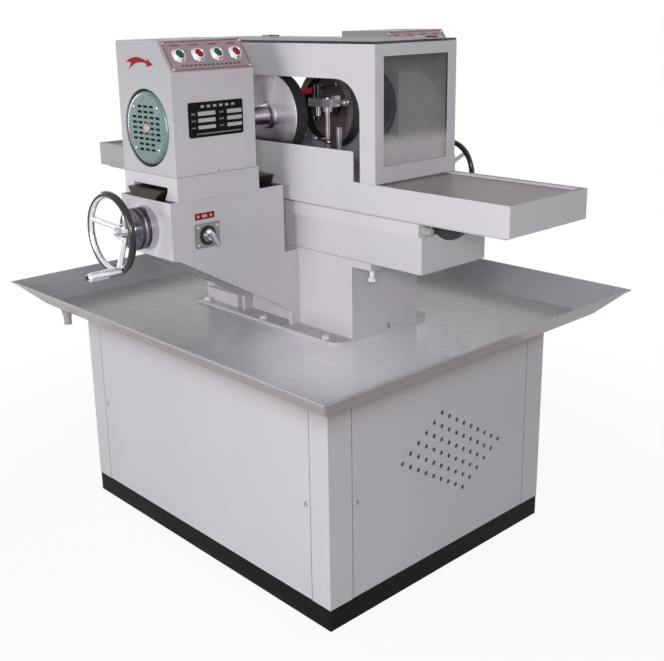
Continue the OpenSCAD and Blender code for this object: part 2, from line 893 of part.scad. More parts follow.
module guard_box() {
    color(paint) difference() {
        union() {
            difference() {
                block([-guard_half, -guard_w / 2, guard_z], [guard_half, guard_w / 2, guard_top]);
                block([-guard_half + guard_t, -guard_w / 2 + guard_t, guard_z - e],
                      [guard_half - guard_t, guard_w / 2 - guard_t, guard_top + e]);
            }
            for (sx = [-1, 1]) {
                block([sx * (guard_half - 10) - 10 + e, -guard_w / 2 + 1, guard_z],
                      [sx * (guard_half - 10) + 10 - e, -guard_w / 2 + 20, guard_z + guard_t]);
                block([sx * (guard_half - 10) - 10 + e, guard_w / 2 - 20, guard_z],
                      [sx * (guard_half - 10) + 10 - e, guard_w / 2 - 1, guard_z + guard_t]);
            }
            for (sx = [-1, 1]) {
                rod_x(hinge_y, hinge_z, sx * hinge_x - hinge_l / 2, sx * hinge_x - 1, hinge_r);
                block([sx * hinge_x - hinge_l / 2, guard_w / 2 - 1, guard_top - 20],
                      [sx * hinge_x - 1, hinge_y, guard_top - 1]);
                block([sx * hinge_x - hinge_l / 2, hinge_y - hinge_r + 2, guard_top - 10],
                      [sx * hinge_x - 1, hinge_y + 2, hinge_z]);
                rod_x(hinge_y, hinge_z, sx * hinge_x - hinge_l / 2, sx * hinge_x + hinge_l / 2,
                      hinge_pin_r);
            }
        }
        arch(-guard_w / 2 - 5, -guard_w / 2 + 5);
        arch(guard_w / 2 - 5, guard_w / 2 + 5);
        for (sx = [-1, 1]) {
            block([sx * guard_half - 5, -guard_w / 2 + stile, guard_z + window_low],
                  [sx * guard_half + 5, guard_w / 2 - stile, guard_top - window_high]);
        }
    }
}

module guard_windows() {
    color([0.75, 0.78, 0.80, 0.35]) for (sx = [-1, 1]) {
        x = sx * (guard_half - guard_t - pane_t / 2 - gap);
        block([x - pane_t / 2, -guard_w / 2 + stile - 10, guard_z + window_low - 10],
              [x + pane_t / 2, guard_w / 2 - stile + 10, guard_top - window_high + 10]);
    }
}

module splash_boards() {
    color(paint) for (sy = [-1, 1]) {
        y = sy * (guard_w / 2 - 1.5);
        block([-board_half, y - 1.5, table_top], [board_half, y + 1.5, table_top + board_h + 3]);
    }
}

module guard_lid() {
    color([0.12, 0.12, 0.14, 0.85]) {
        block([-guard_half + 1, -guard_w / 2 + 1, guard_top + gap],
              [guard_half - 1, guard_w / 2, guard_top + gap + lid_t]);
        for (sx = [-1, 1]) {
            difference() {
                union() {
                    rod_x(hinge_y, hinge_z, sx * hinge_x, sx * hinge_x + hinge_l / 2, hinge_r);
                    block([sx * hinge_x, guard_w / 2 - 1, guard_top + gap],
                          [sx * hinge_x + hinge_l / 2, hinge_y, guard_top + gap + lid_t]);
                }
                rod_x(hinge_y, hinge_z, sx * hinge_x - 5, sx * hinge_x + hinge_l / 2 + 5,
                      hinge_pin_r + run);
            }
        }
    }
}

// ---------- Fixture ----------

module fixture_base() {
    floor_z = table_top - trough_depth;
    x0 = fixture_x - fixture_l / 2;
    x1 = fixture_x + fixture_l / 2;
    color(iron) {
        difference() {
            block([x0, -fixture_half, floor_z], [x1, fixture_half, floor_z + fixture_t]);
            for (x = [x0 + fixture_hole_in, x1 - fixture_hole_in]) {
                translate([x, 0, floor_z - e]) cylinder(r = fixture_hole_r, h = fixture_t + 5);
            }
            translate([post_x, 0, floor_z + post_seat]) cylinder(r = post_r + seat, h = fixture_t);
        }
        translate([pin_x, 0, floor_z + fixture_t - e]) cylinder(r = pin_r, h = pin_h);
        difference() {
            block([vee_x - vee_block_w / 2, -fixture_half + 4, floor_z + fixture_t - e],
                  [vee_x + vee_block_w / 2, fixture_half - 4, floor_z + fixture_t + vee_block_h]);
            translate([vee_x, 0, floor_z + fixture_t + vee_block_h]) {
                rotate([0, 45, 0]) cube([vee_side, 100, vee_side], center = true);
            }
        }
    }
}

module fixture_clamp() {
    floor_z = table_top - trough_depth;
    bar_end = bar_x + bar_l / 2;
    color(steel) {
        translate([post_x, 0, floor_z + post_seat + gap]) {
            cylinder(r = post_r, h = post_top - floor_z - post_seat);
        }
        difference() {
            block([bar_x - bar_l / 2, -bar_w / 2, post_top],
                  [bar_x + bar_l / 2, bar_w / 2, post_top + bar_h]);
            translate([clamp_x, 0, post_top - 5]) cylinder(r = clamp_screw_r + run, h = bar_h + 10);
        }
        translate([post_x, 0, post_top - 12]) cylinder(r = post_r + 4, h = 12 + e);
        block([bar_end - e, -knob_r, post_top + 2], [bar_end + 12, knob_r, post_top + stop_h]);
        translate([bar_end + ball_reach, 0, post_top + ball_up]) sphere(r = knob_r);
        rod_x(0, post_top + ball_up, bar_end + 10, bar_end + ball_reach, knob_r / 2);
    }
}

module clamp_lever() {
    color([0.75, 0.10, 0.12]) translate([clamp_x, 0, post_top]) {
        translate([0, 0, 6 - clamp_drop]) cylinder(r = clamp_screw_r, h = clamp_drop + bar_h);
        translate([0, 0, -clamp_drop]) cylinder(r = clamp_pad_r, h = 8);
        translate([0, 0, bar_h + gap]) cylinder(r = lever_hub_r, h = lever_up + lever_hub_r);
        translate([0, 0, bar_h + lever_up]) rotate([0, lever_tilt, lever_turn]) {
            cylinder(r = lever_r, h = lever_l);
            translate([0, 0, -tail_l]) cylinder(r = tail_r, h = tail_l);
        }
    }
}

// ---------- Heads ----------

// Outline of a housing in the [x, z] plane, moved inwards by t
function shell(t) = [[-head_half + t, slide_top], [head_half - t, slide_top],
    [head_half - t, slope_z(t, head_half - t)], [slope_x(t, head_top - t), head_top - t],
    [-head_half + t, head_top - t]];
slope_c = slope_n[0] * slope_top_x + slope_n[1] * head_top;
function slope_x(t, z) = (slope_c - t - slope_n[1] * z) / slope_n[0];
function slope_z(t, x) = (slope_c - t - slope_n[0] * x) / slope_n[1];

module slide_body() {
    difference() {
        union() {
            difference() {
                block([-head_half, -head_out, arm_top + gap], [head_half, -slide_in, slide_top]);
                along_y([[-dove_foot - gap, arm_top - e], [dove_foot + gap, arm_top - e],
                         [dove_foot + gap, arm_top], [dove_top + gap, arm_top + dove_h],
                         [dove_top + gap, arm_top + dove_h + dove_room],
                         [-dove_top - gap, arm_top + dove_h + dove_room],
                         [-dove_top - gap, arm_top + dove_h], [-dove_foot - gap, arm_top]],
                        -head_out - e, -slide_in + e);
            }
            block([-nut_w / 2, -nut_y - nut_l / 2, screw_z - 20],
                  [nut_w / 2, -nut_y + nut_l / 2, slide_top - 5]);
        }
        rod_y(0, screw_z, -head_out - 5, -slide_in + 5, screw_r + run);
    }
}

module housing_body() {
    difference() {
        along_y(shell(0), -head_out, -head_in);
        translate([0, 0, -0.01]) along_y(shell(head_wall), -head_out + head_wall, -head_in - head_wall);
        rod_y(0, spindle_z, -head_out - 5, -head_out + 10, fan_hole_r);
        rod_y(0, spindle_z, -head_in - 10, -head_in + 5, spindle_hole_r);
        button_places(-1) translate([0, 0, -15]) cylinder(r = button_r + 2, h = 30);
    }
}

// Puts its child at each button of one head, +Z of the child out of the slope
module button_places(side) {
    for (i = [0 : 3]) one_button_place(side, i) children();
}

module one_button_place(side, i) {
    y = side * button_y + (i - 1.5) * button_pitch;
    translate([slope_mid[0], y, slope_mid[1]]) rotate([0, slope_turn, 0]) children();
}

module button_plate(side) {
    color([0.62, 0.52, 0.52]) difference() {
        union() {
            translate([slope_mid[0], side * button_y, slope_mid[1]]) rotate([0, slope_turn, 0]) {
                translate([0, 0, plate_t / 2 + 0.01]) cube([plate_w, plate_l, plate_t], center = true);
            }
            button_places(side) cylinder(r1 = bezel_r, r2 = bezel_top_r, h = bezel_h);
        }
        button_places(side) translate([0, 0, -5]) cylinder(r = button_r + 0.3, h = 30);
    }
}

module button(side, i) {
    one_button_place(side, i) translate([0, 0, bezel_h + button_travel + 1 - button_l]) {
        cylinder(r = button_r, h = button_l);
    }
}

module motor_body() {
    d = stator_in - 28;
    difference() {
        union() {
            turned_y([[0, d], [30, d], [30, stator_in], [stator_r, stator_in + 8],
                      [stator_r, stator_out - 8], [cowl_r - cowl_t - gap, stator_out - 8],
                      [cowl_r - cowl_t - gap, stator_out], [0, stator_out]], spindle_z);
            block([-56, -stator_out + 16, slide_top], [56, -stator_in - 16, slide_top + 14]);
            block([-40, -stator_out + 24, slide_top + 12], [40, -stator_in - 24, spindle_z - 20]);
        }
        rod_y(0, spindle_z, -stator_out - 5, -d + 5, spindle_r + 1);
        rod_y(0, spindle_z, -stator_out + 20, -stator_in - 12, rotor_r + 0.6);
        rod_y(0, spindle_z, -stator_out - 1, -stator_out + bearing_w, bearing_r + seat);
        rod_y(0, spindle_z, -d - bearing_w, -d + 1, bearing_r + seat);
    }
    bearing_ring(-stator_out);
    bearing_ring(-d - bearing_w);
}

module bearing_ring(y) {
    difference() {
        rod_y(0, spindle_z, y + seat, y + bearing_w - seat, bearing_r);
        rod_y(0, spindle_z, y - 1, y + bearing_w + 1, spindle_r + run);
    }
}

// A round-edged cup, grown or shrunk by t, with its open end at y0
module cup(y0, t) {
    flat = cowl_r - cowl_edge;
    turned_y([[0, y0], [cowl_r - t, y0], [cowl_r - t, cowl_out - cowl_edge],
              [flat, cowl_out - cowl_edge], [flat, cowl_out - t], [0, cowl_out - t]], spindle_z);
    translate([0, cowl_edge - cowl_out, spindle_z]) rotate([90, 0, 0]) rotate_extrude() {
        translate([flat, 0]) circle(r = cowl_edge - t);
    }
}

module cowl_body() {
    difference() {
        cup(stator_out - 6, 0);
        cup(stator_out - 7, cowl_t);
        for (row = [-4 : 4], col = [-2 : 2]) {
            x = col * 21;
            z = row * 11;
            if (norm([abs(x) + 8, z]) < cowl_slots_r) {
                block([x - 7.5, -cowl_out - 5, spindle_z + z - 2.5],
                      [x + 7.5, -cowl_out + 5, spindle_z + z + 2.5]);
            }
        }
    }
}

module spindle_body() {
    rod_y(0, spindle_z, -fan_out - 2, -nut_face + 4, spindle_r);
    rod_y(0, spindle_z, -stator_out + 26, -stator_in - 18, rotor_r);
    rod_y(0, spindle_z, -wheel_back - 16, -wheel_back + e, spindle_r + 8);
    turned_y([[0, wheel_back], [nose_r, wheel_back], [nose_r, wheel_seat + 4],
              [wheel_boss_r - 1, wheel_seat + 1], [wheel_boss_r - 1, wheel_seat], [0, wheel_seat]],
             spindle_z);
    translate([0, -nut_face, spindle_z]) rotate([90, 0, 0]) {
        cylinder(r = head_nut_r, h = 13.7, $fn = 6);
    }
}

module wheel_body() {
    turned_y([[spindle_r + seat, wheel_seat - seat], [wheel_boss_r, wheel_seat - seat],
              [wheel_boss_r + 5, wheel_rim + 4], [wheel_r, wheel_rim], [wheel_r, wheel_face],
              [wheel_r - 18, wheel_face], [wheel_r - 18, wheel_rim - 7], [58, wheel_rim - 5],
              [34, nut_face + 14], [spindle_r + seat, nut_face + 14]], spindle_z);
}

module fan_body() {
    difference() {
        union() {
            rod_y(0, spindle_z, -fan_out, -fan_in, spindle_r + 8);
            for (a = [0 : 45 : 315]) {
                translate([0, -fan_out, spindle_z]) rotate([0, a, 0]) {
                    block([spindle_r + 4, 0, -1.5], [58, fan_out - fan_in, 1.5]);
                }
            }
        }
        rod_y(0, spindle_z, -fan_out - 5, -fan_in + 5, spindle_r + seat);
    }
}

module handwheel_body() {
    rod_y(0, screw_z, -hub_y1, -hub_y0 + e, wheel_hub_r);
    rod_y(0, screw_z, -hub_y0, -dial_y0, dial_r);
    rod_y(0, screw_z, -dial_y0 - e, -slot_in, screw_r);
    translate([0, -rim_y, screw_z]) rotate([90, 0, 0]) rotate_extrude() {
        translate([handwheel_r, 0]) circle(r = rim_r);
    }
    for (a = [76 : 120 : 316]) {
        spoke(a);
    }
    rod_y(crank_x, crank_z, -crank_y1, -rim_y, grip_pin_r);
}

// A spoke from the hub out and back to the rim
module spoke(a) {
    rise = rim_y - hub_y0 - 18;
    reach = handwheel_r - wheel_hub_r + 4;
    translate([0, -hub_y0 - 18, screw_z]) rotate([0, a, 0]) {
        translate([wheel_hub_r - 4, 0, 0]) rotate([0, 90, -atan2(rise, reach)]) {
            cylinder(r = 6, h = norm([rise, reach]));
        }
    }
}

module grip_body() {
    difference() {
        turned_at(crank_x, crank_z, [[0, grip_y0], [grip_r - 2, grip_y0], [grip_r, grip_y0 + 30],
                                     [grip_r - 1, grip_y1 - 6], [grip_r - 4, grip_y1], [0, grip_y1]]);
        rod_y(crank_x, crank_z, -crank_y1 - 10, -grip_y0 + 5, grip_pin_r + run);
    }
}

module turned_at(x, z, points) {
    translate([x, 0, z]) rotate([90, 0, 0]) rotate_extrude() polygon(points);
}

module far() {
    mirror([0, 1, 0]) children();
}

module near_slide() {
    color(paint) slide_body();
}
module near_housing() {
    color(paint) housing_body();
}
module near_motor() {
    color(iron) motor_body();
}
module near_cowl() {
    color(teal) cowl_body();
}
module near_button_plate() {
    button_plate(-1);
}
module name_plate() {
    z = slide_top + name_plate_up;
    y = -head_out + 36;
    color(black) block([head_half, y, z], [head_half + 1, y + name_plate_w, z + name_plate_h]);
}
module near_spindle() {
    color(steel) spindle_body();
}
module near_cup_wheel() {
    color(chrome) wheel_body();
}
module near_fan() {
    color(iron) fan_body();
}
module near_handwheel() {
    color(chrome) handwheel_body();
}
module near_grip() {
    color(chrome) grip_body();
}
module far_slide() {
    color(paint) far() slide_body();
}
module far_housing() {
    color(paint) far() housing_body();
}
module far_motor() {
    color(iron) far() motor_body();
}
module far_cowl() {
    color(teal) far() cowl_body();
}
module far_button_plate() {
    button_plate(1);
}
module far_spindle() {
    color(steel) far() spindle_body();
}
module far_cup_wheel() {
    color(chrome) far() wheel_body();
}
module far_fan() {
    color(iron) far() fan_body();
}
module far_handwheel() {
    color(chrome) far() handwheel_body();
}
module far_grip() {
    color(chrome) far() grip_body();
}
module green_button(side, i) {
    color([0.05, 0.40, 0.22]) button(side, i);
}
module red_button(side, i) {
    color([0.75, 0.08, 0.10]) button(side, i);
}

plinth();
cabinet_frame();
front_panel();
rear_panel();
vent_panel();
side_panel();
panel_screws();
drip_tray();
bed_casting();
guide_rails();
near_arm();
far_arm();
foot_bolts();
dial_flanges();
switch_plate();
feed_motor();
coolant_tank();
coolant_pump();
control_box();
work_table();
feed_rack();
guard_box();
guard_windows();
splash_boards();
fixture_base();
fixture_clamp();
guard_lid();
clamp_lever();
switch_lever();
feed_pinion();
near_slide();
near_housing();
near_motor();
near_cowl();
near_button_plate();
name_plate();
near_spindle();
near_cup_wheel();
near_fan();
near_handwheel();
near_grip();
green_button(-1, 0);  // near_button_1
red_button(-1, 1);  // near_button_2
green_button(-1, 2);  // near_button_3
red_button(-1, 3);  // near_button_4
far_slide();
far_housing();
far_motor();
far_cowl();
far_button_plate();
far_spindle();
far_cup_wheel();
far_fan();
far_handwheel();
far_grip();
green_button(1, 0);  // far_button_1
red_button(1, 1);  // far_button_2
green_button(1, 2);  // far_button_3
red_button(1, 3);  // far_button_4
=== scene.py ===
"""Looks of a double-end wet face grinder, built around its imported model.

Everything is in metres in the model's own frame: +X is the table travel, +Y the spindle axes,
+Z up, and the origin is the middle of the base on the floor. Run it as a script in Blender.
"""

from math import atan2, copysign, cos, pi, radians, sin

import bmesh
import bpy
from mathutils import Matrix, Vector


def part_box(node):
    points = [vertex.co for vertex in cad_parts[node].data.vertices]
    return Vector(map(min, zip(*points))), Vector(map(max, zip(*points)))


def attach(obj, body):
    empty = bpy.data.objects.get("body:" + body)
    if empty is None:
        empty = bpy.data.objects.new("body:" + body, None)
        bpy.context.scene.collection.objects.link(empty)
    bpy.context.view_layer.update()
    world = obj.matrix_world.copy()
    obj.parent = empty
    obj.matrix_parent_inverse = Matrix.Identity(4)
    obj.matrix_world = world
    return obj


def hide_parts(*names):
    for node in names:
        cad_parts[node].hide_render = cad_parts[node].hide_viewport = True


bl_info = {
    "name": "Wet Face Grinder",
    "version": (1, 0, 0),
    "blender": (4, 5, 0),
    "location": "3D View > Sidebar > Grinder",
    "description": "Finishes and fine pieces of a double-end wet face grinder, and its studio",
    "category": "Object",
}

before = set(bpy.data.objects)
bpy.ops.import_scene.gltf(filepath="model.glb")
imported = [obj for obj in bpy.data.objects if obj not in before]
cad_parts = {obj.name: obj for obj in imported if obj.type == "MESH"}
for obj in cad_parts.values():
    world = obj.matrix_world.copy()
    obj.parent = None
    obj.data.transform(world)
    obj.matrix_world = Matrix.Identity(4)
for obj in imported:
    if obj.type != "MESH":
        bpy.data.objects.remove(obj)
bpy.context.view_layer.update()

HEAD_LOW, HEAD_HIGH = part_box("near_housing")
PLATE_LOW, PLATE_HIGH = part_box("near_button_plate")
NAME_LOW, NAME_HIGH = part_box("name_plate")
COWL_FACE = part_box("near_cowl")[0].y
ARM_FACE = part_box("near_arm")[1].x
GUARD_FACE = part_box("guard_box")[1].x
PLINTH_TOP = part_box("plinth")[1].z

SPINDLE = (0.0, 0.0, 1.01)
SCREW = (0.0, 0.0, 0.805)
PINION = (0.0, 0.0, 0.773)
CLAMP = (0.054, 0.0, 0.0)
CUP_BACK = 0.106
HUB_FACE = -0.519
DRUM_END = 0.4872
TICKS_Y = -0.4825
RING_FACE = -0.4725
ARM_TOP = 0.866
BAR_TOP = 1.043
FIXTURE_TOP = 0.908
# Middle of the painted highlight on the tray's floor.
SHEEN_CORNER = (0.3, -0.21)
# Turn of the painted highlight on the grinding wheels.
HIGHLIGHT_TURN = radians(24.0)
SHOULDER_ANGLE = atan2(62.0, 44.0)
SHOULDER_NORMAL = Vector((sin(SHOULDER_ANGLE), 0.0, cos(SHOULDER_ANGLE)))
SHOULDER = Vector((0.075, 0.5 * (PLATE_LOW.y + PLATE_HIGH.y), 1.154))
BUTTON_BOXES = [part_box(f"near_button_{number}") for number in (1, 2, 3, 4)]
BUTTON_Y = [0.5 * (low.y + high.y) for low, high in BUTTON_BOXES]
SIDES = (("near", 1.0), ("far", -1.0))
INWARD, OUTWARD, FORWARD = (0, 1, 0), (0, -1, 0), (1, 0, 0)

# The view in pixels: its size, where the camera's axis meets it and the focal length.
VIEW_WIDTH, VIEW_HEIGHT = 664.0, 661.0
AXIS_ACROSS, AXIS_DOWN = 312.23, 292.0
FOCAL_LENGTH = 983.83
SENSOR_WIDTH = 36.0

# Where nearly all of a noise lies, and the noises that the enamels share.
MIDDLE = (0.3, 0.7)
CLOUD = (2.6, 3.0, 0.55)
PEEL = (420.0, 2.0, 0.5)


def tone(red, green, blue):
    """The linear colour of three screen levels from 0 to 255."""
    levels = [level / 255.0 for level in (red, green, blue)]
    return tuple(v / 12.92 if v <= 0.04045 else ((v + 0.055) / 1.055) ** 2.4 for v in levels)


# ---------------------------------------------------------------- settings


def colour_setting(name, description, *levels):
    """A colour that the panel offers, from its screen levels."""
    return bpy.props.FloatVectorProperty(
        name=name, description=description, default=tone(*levels), subtype="COLOR", size=3, min=0, max=1
    )


def length_setting(name, description, default, low, high):
    """A length in metres that the panel offers."""
    return bpy.props.FloatProperty(
        name=name, description=description, default=default, min=low, max=high,
        unit="LENGTH", subtype="DISTANCE", precision=4,
    )


def angle_setting(name, description, default):
    """An angle that the panel offers."""
    return bpy.props.FloatProperty(
        name=name, description=description, default=default, unit="ROTATION", subtype="ANGLE"
    )


def power_setting(name, description, default):
    """The power of a lamp in watts that the panel offers."""
    return bpy.props.FloatProperty(
        name=name, description=description, default=default, min=0.0, max=1000.0, unit="POWER"
    )


def share_setting(name, description, default, low=0.0, high=1.0):
    """A plain number that the panel offers."""
    return bpy.props.FloatProperty(
        name=name, description=description, default=default, min=low, max=high, subtype="FACTOR"
    )


class GrinderColours(bpy.types.PropertyGroup):
    """Colours of the finishes."""

    grey: colour_setting("Grey enamel", "Enamel of the castings, heads and guard", 202, 198, 204)
    cabinet: colour_setting("Cabinet enamel", "Enamel of the cabinet and tray", 196, 192, 199)
    black: colour_setting("Plinth enamel", "Enamel of the plinth", 13, 13, 13)
    teal: colour_setting("Hammered teal", "Hammer finish of the fan cowls", 84, 112, 112)
    steel: colour_setting("Steel", "Turned and ground steel", 205, 203, 208)
    chrome: colour_setting("Chrome", "Handwheels and levers", 226, 222, 230)
    wheel: colour_setting("Wheel metal", "Spun cup of the grinding wheels", 206, 194, 208)
    grit: colour_setting("Grit", "Abrasive rim of the grinding wheels", 34, 30, 33)
    iron: colour_setting("Dark iron", "Bare and blackened ironwork", 92, 92, 96)
    smoke: colour_setting("Smoked sheet", "Lid of the guard", 38, 37, 41)
    window: colour_setting("Window sheet", "Tinted windows of the guard", 70, 62, 68)
    red: colour_setting("Red plastic", "Stop buttons", 158, 12, 28)
    green: colour_setting("Green plastic", "Start buttons", 4, 88, 60)
    button_plate: colour_setting("Button plates", "Printed plates under the buttons", 160, 138, 148)
    border: colour_setting("Plate border", "Printed line round the button plates", 112, 44, 54)
    sign: colour_setting("Sign red", "Printed red signs and arrows", 138, 4, 20)
    name_plate: colour_setting("Name plate", "Blank data plate", 12, 12, 14)
    white: colour_setting("White", "Painted bolts and white prints", 226, 224, 228)


class GrinderSizes(bpy.types.PropertyGroup):
    """Sizes of the fine pieces."""

    print_relief: length_setting("Print relief", "Thickness of printed signs", 0.0004, 0.0001, 0.002)
    cap_height: length_setting("Button height", "How far a button's cap stands up", 0.0125, 0.002, 0.013)
    cap_radius: length_setting("Button radius", "Radius of a button's cap", 0.009, 0.002, 0.0095)
    hem: length_setting("Hem", "Radius of the tray's rolled rim", 0.0022, 0.0005, 0.005)
    flange_radius: length_setting("Splash disc", "Radius of the disc behind a wheel", 0.09, 0.05, 0.095)
    seam_screw: length_setting("Seam screw", "Radius of the screw by a head's seam", 0.00225, 0.0005, 0.005)
    ring_pitch: length_setting("Ring pitch", "Pitch of the turned rings on a wheel", 0.0016, 0.0005, 0.01)
    ring_depth: length_setting("Ring depth", "Depth of the turned rings on a wheel", 0.0001, 0.0, 0.001)


class GrinderStage(bpy.types.PropertyGroup):
    """Camera, lamps and floor."""

    camera: bpy.props.FloatVectorProperty(
        name="Camera place", description="Where the camera stands", subtype="TRANSLATION",
        unit="LENGTH", size=3, default=(1.73668, -1.55995, 1.23699),
    )
    heading: angle_setting("Heading", "Way the camera looks, counted from +X", radians(135.0) + 0.047859)
    tilt: angle_setting("Tilt", "Angle of the view above the horizon", -0.278968)
    roll: angle_setting("Roll", "Turn of the camera about its view", -0.020515)
    lens: bpy.props.FloatProperty(
        name="Lens", description="Focal length in mm on a 36 mm sensor", subtype="DISTANCE_CAMERA",
        unit="CAMERA", default=FOCAL_LENGTH / VIEW_WIDTH * SENSOR_WIDTH, min=10, max=300,
    )
    shift_x: share_setting(
        "Shift across", "Sideways shift of the view", (VIEW_WIDTH / 2 - AXIS_ACROSS) / VIEW_WIDTH, -1
    )
    shift_y: share_setting(
        "Shift up", "Upward shift of the view", (AXIS_DOWN - VIEW_HEIGHT / 2) / VIEW_WIDTH, -1
    )
    key: power_setting("Key lamp", "Power of the lamp before the near end", 61.0)
    front: power_setting("Front lamp", "Power of the lamp by the camera", 23.0)
    fill: power_setting("Fill lamp", "Power of the side lamp", 5.0)
    back: power_setting("Back lamp", "Power of the lamp behind", 110.0)
    left: power_setting("Left lamp", "Power of the lamp on the left", 80.0)
    ambient: share_setting("Ambient", "Strength of the light from all round", 0.16, 0, 5)
    floor: share_setting("Floor", "Lightness of the pale floor", 0.66)


# ---------------------------------------------------------------- shader maths


def maths_method(operation, swapped=False):
    """A method that makes a maths node of a value and another, in their order or swapped."""
    def method(self, other=0.0):
        pair = (other, self) if swapped else (self, other)
        return self.nodes.add("ShaderNodeMath", {"operation": operation}, dict(enumerate(pair)))
    return method


class Value:
    """A number on a socket, so that shader maths reads as an expression."""

    def __init__(self, nodes, socket):
        self.nodes = nodes
        self.socket = socket

    __add__, __radd__ = maths_method("ADD"), maths_method("ADD", True)
    __sub__, __rsub__ = maths_method("SUBTRACT"), maths_method("SUBTRACT", True)
    __mul__, __rmul__ = maths_method("MULTIPLY"), maths_method("MULTIPLY", True)
    __truediv__, __mod__ = maths_method("DIVIDE"), maths_method("FLOORED_MODULO")
    __lt__, __gt__ = maths_method("LESS_THAN"), maths_method("GREATER_THAN")
    root = maths_method("SQRT")

    def spread(self, low, high, first=0.0, last=1.0, smooth=False):
        """The value moved from low..high to first..last."""
        return self.nodes.add(
            "ShaderNodeMapRange", {"interpolation_type": "SMOOTHSTEP" if smooth else "LINEAR"},
            {"Value": self, "From Min": low, "From Max": high, "To Min": first, "To Max": last},
        )

    def soft(self, first=0.0, last=1.0):
        """A noise moved to first..last."""
        return self.spread(*MIDDLE, first, last)

    def mix(self, first, second):
        """The colour that lies this far from one colour to another."""
        first, second = (c if isinstance(c, Value) else (*c, 1.0) for c in (first, second))
        return self.nodes.add("ShaderNodeMix", {"data_type": "RGBA"}, {0: self, 6: first, 7: second}, 2)

    def shade(self, colour, low, high):
        """A colour whose level goes from low to high times itself."""
        return self.mix([low * c for c in colour], [min(1.0, high * c) for c in colour])


class Nodes:
    """The node tree of a material or a world, filled node by node."""

    def __init__(self, owner):
        owner.use_nodes = True
        self.tree = owner.node_tree
        self.tree.nodes.clear()

    def feed(self, socket, value):
        """Links a value to a socket, or writes a constant on it."""
        if isinstance(value, Value):
            self.tree.links.new(value.socket, socket)
        else:
            socket.default_value = value

    def add(self, kind, settings=None, inputs=None, output=0):
        """One node: its settings first, then what its sockets hold."""
        node = self.tree.nodes.new(kind)
        for name, value in (settings or {}).items():
            setattr(node, name, value)
        for name, value in (inputs or {}).items():
            self.feed(node.inputs[name], value)
        return Value(self, node.outputs[output]) if node.outputs else node

    def seen(self):
        """1 to the camera, in reflections and through sheet, and 0 to the light on what is matt."""
        rays = self.add("ShaderNodeLightPath").socket.node.outputs
        eye, gloss, through = (
            Value(self, rays[f"Is {kind} Ray"]) for kind in ("Camera", "Glossy", "Transmission")
        )
        return 1 - (1 - eye) * (1 - gloss) * (1 - through)


class Shader(Nodes):
    """A material with one principled surface."""

    def __init__(self, name, metallic=0.0, coat=0.0, specular=0.5, ior=1.5):
        self.material = bpy.data.materials.new(name)
        super().__init__(self.material)
        surface = self.add("ShaderNodeBsdfPrincipled")
        self.surface = surface.socket.node.inputs
        self.output = self.add("ShaderNodeOutputMaterial", inputs={"Surface": surface}).inputs["Surface"]
        self.set("Metallic", metallic)
        self.set("Coat Weight", coat)
        self.set("Coat Roughness", 0.12)
        self.set("Specular IOR Level", specular)
        self.set("IOR", ior)
        self.point = self.place()

    def set(self, name, value):
        self.feed(self.surface[name], value)

    def finish(self, colour, roughness, height=None, depth=0.0, strength=0.0):
        """The material, once it has its colour, its roughness and its bump."""
        self.set("Base Color", colour)
        self.set("Roughness", roughness)
        if height:
            bump = {"Height": height, "Distance": depth, "Strength": strength}
            self.set("Normal", self.add("ShaderNodeBump", inputs=bump))
        return self.material

    def place(self, centre=(0, 0, 0), turn=(0, 0, 0), scale=(1, 1, 1)):
        """Object coordinates as seen from a centre, a turn and a scale of their own."""
        point = self.add("ShaderNodeTexCoord", output="Object")
        return self.add(
            "ShaderNodeMapping", {"vector_type": "TEXTURE"},
            {"Vector": point, "Location": centre, "Rotation": turn, "Scale": scale},
        )

    def axes(self, point=None):
        """The three coordinates of a point."""
        split = self.add("ShaderNodeSeparateXYZ", inputs={0: point or self.point})
        return [Value(self, output) for output in split.socket.node.outputs]

    def spot(self, kind):
        """The three world coordinates of the surface's Position or Normal."""
        return self.axes(self.add("ShaderNodeNewGeometry", output=kind))

    def about_y(self, centre):
        """Distance from an axis along Y through a centre, and distance along it."""
        across, along, up = self.axes(self.place(centre))
        return distance(across, up), along

    def noise(self, scale, detail=2.0, roughness=0.5, stretch=None, depth=None):
        """Noise over the object, drawn out along an axis by a stretch above 1, or over one depth."""
        point = self.place(scale=stretch) if stretch else self.point
        where = {"W": depth} if depth else {"Vector": point}
        return self.add(
            "ShaderNodeTexNoise", {"noise_dimensions": "1D" if depth else "3D"},
            {**where, "Scale": scale, "Detail": detail, "Roughness": roughness},
        )


def distance(across, along):
    """The length of two sides of a right angle together."""
    return (across * across + along * along).root()


def between(value, low, high):
    """1 where a value lies between low and high."""
    return (value > low) * (value < high)


def patch(across, along, low, high):
    """1 inside a rectangle of two coordinates."""
    return between(across, low[0], high[0]) * between(along, low[1], high[1])


# ---------------------------------------------------------------- finishes


def clouded(name, colour, cloud, levels, rough, grain, bump, **surface):
    """A finish whose colour and roughness follow one cloud, over a bump of fine grain."""
    shader = Shader(name, **surface)
    haze_and_shade = shader.noise(*cloud)
    paint = haze_and_shade.soft().shade(colour, *levels)
    return shader.finish(paint, haze_and_shade.soft(*rough), shader.noise(*grain), *bump)


def bare_iron(name, colour, roughness=0.48, metallic=0.75):
    """Machined or blackened iron with oil marks."""
    shader = Shader(name, metallic)
    cloud = shader.noise(24.0, 4.0, 0.62)
    marks = cloud.soft().shade(colour, 0.78, 1.15)
    rough = cloud.spread(0.25, 0.75, roughness - 0.12, roughness + 0.12)
    return shader.finish(marks, rough, shader.noise(520.0, 2.0, 0.6), 0.0004, 0.3)


def plated(name, colour, roughness):
    """Chrome plate with faint polishing clouds."""
    rough = (roughness * 0.8, roughness * 1.5)
    return clouded(
        name, colour, (45.0, 3.0, 0.55), (0.95, 1.03), rough, (900.0, 1.0), (0.00005, 0.15), metallic=1.0
    )


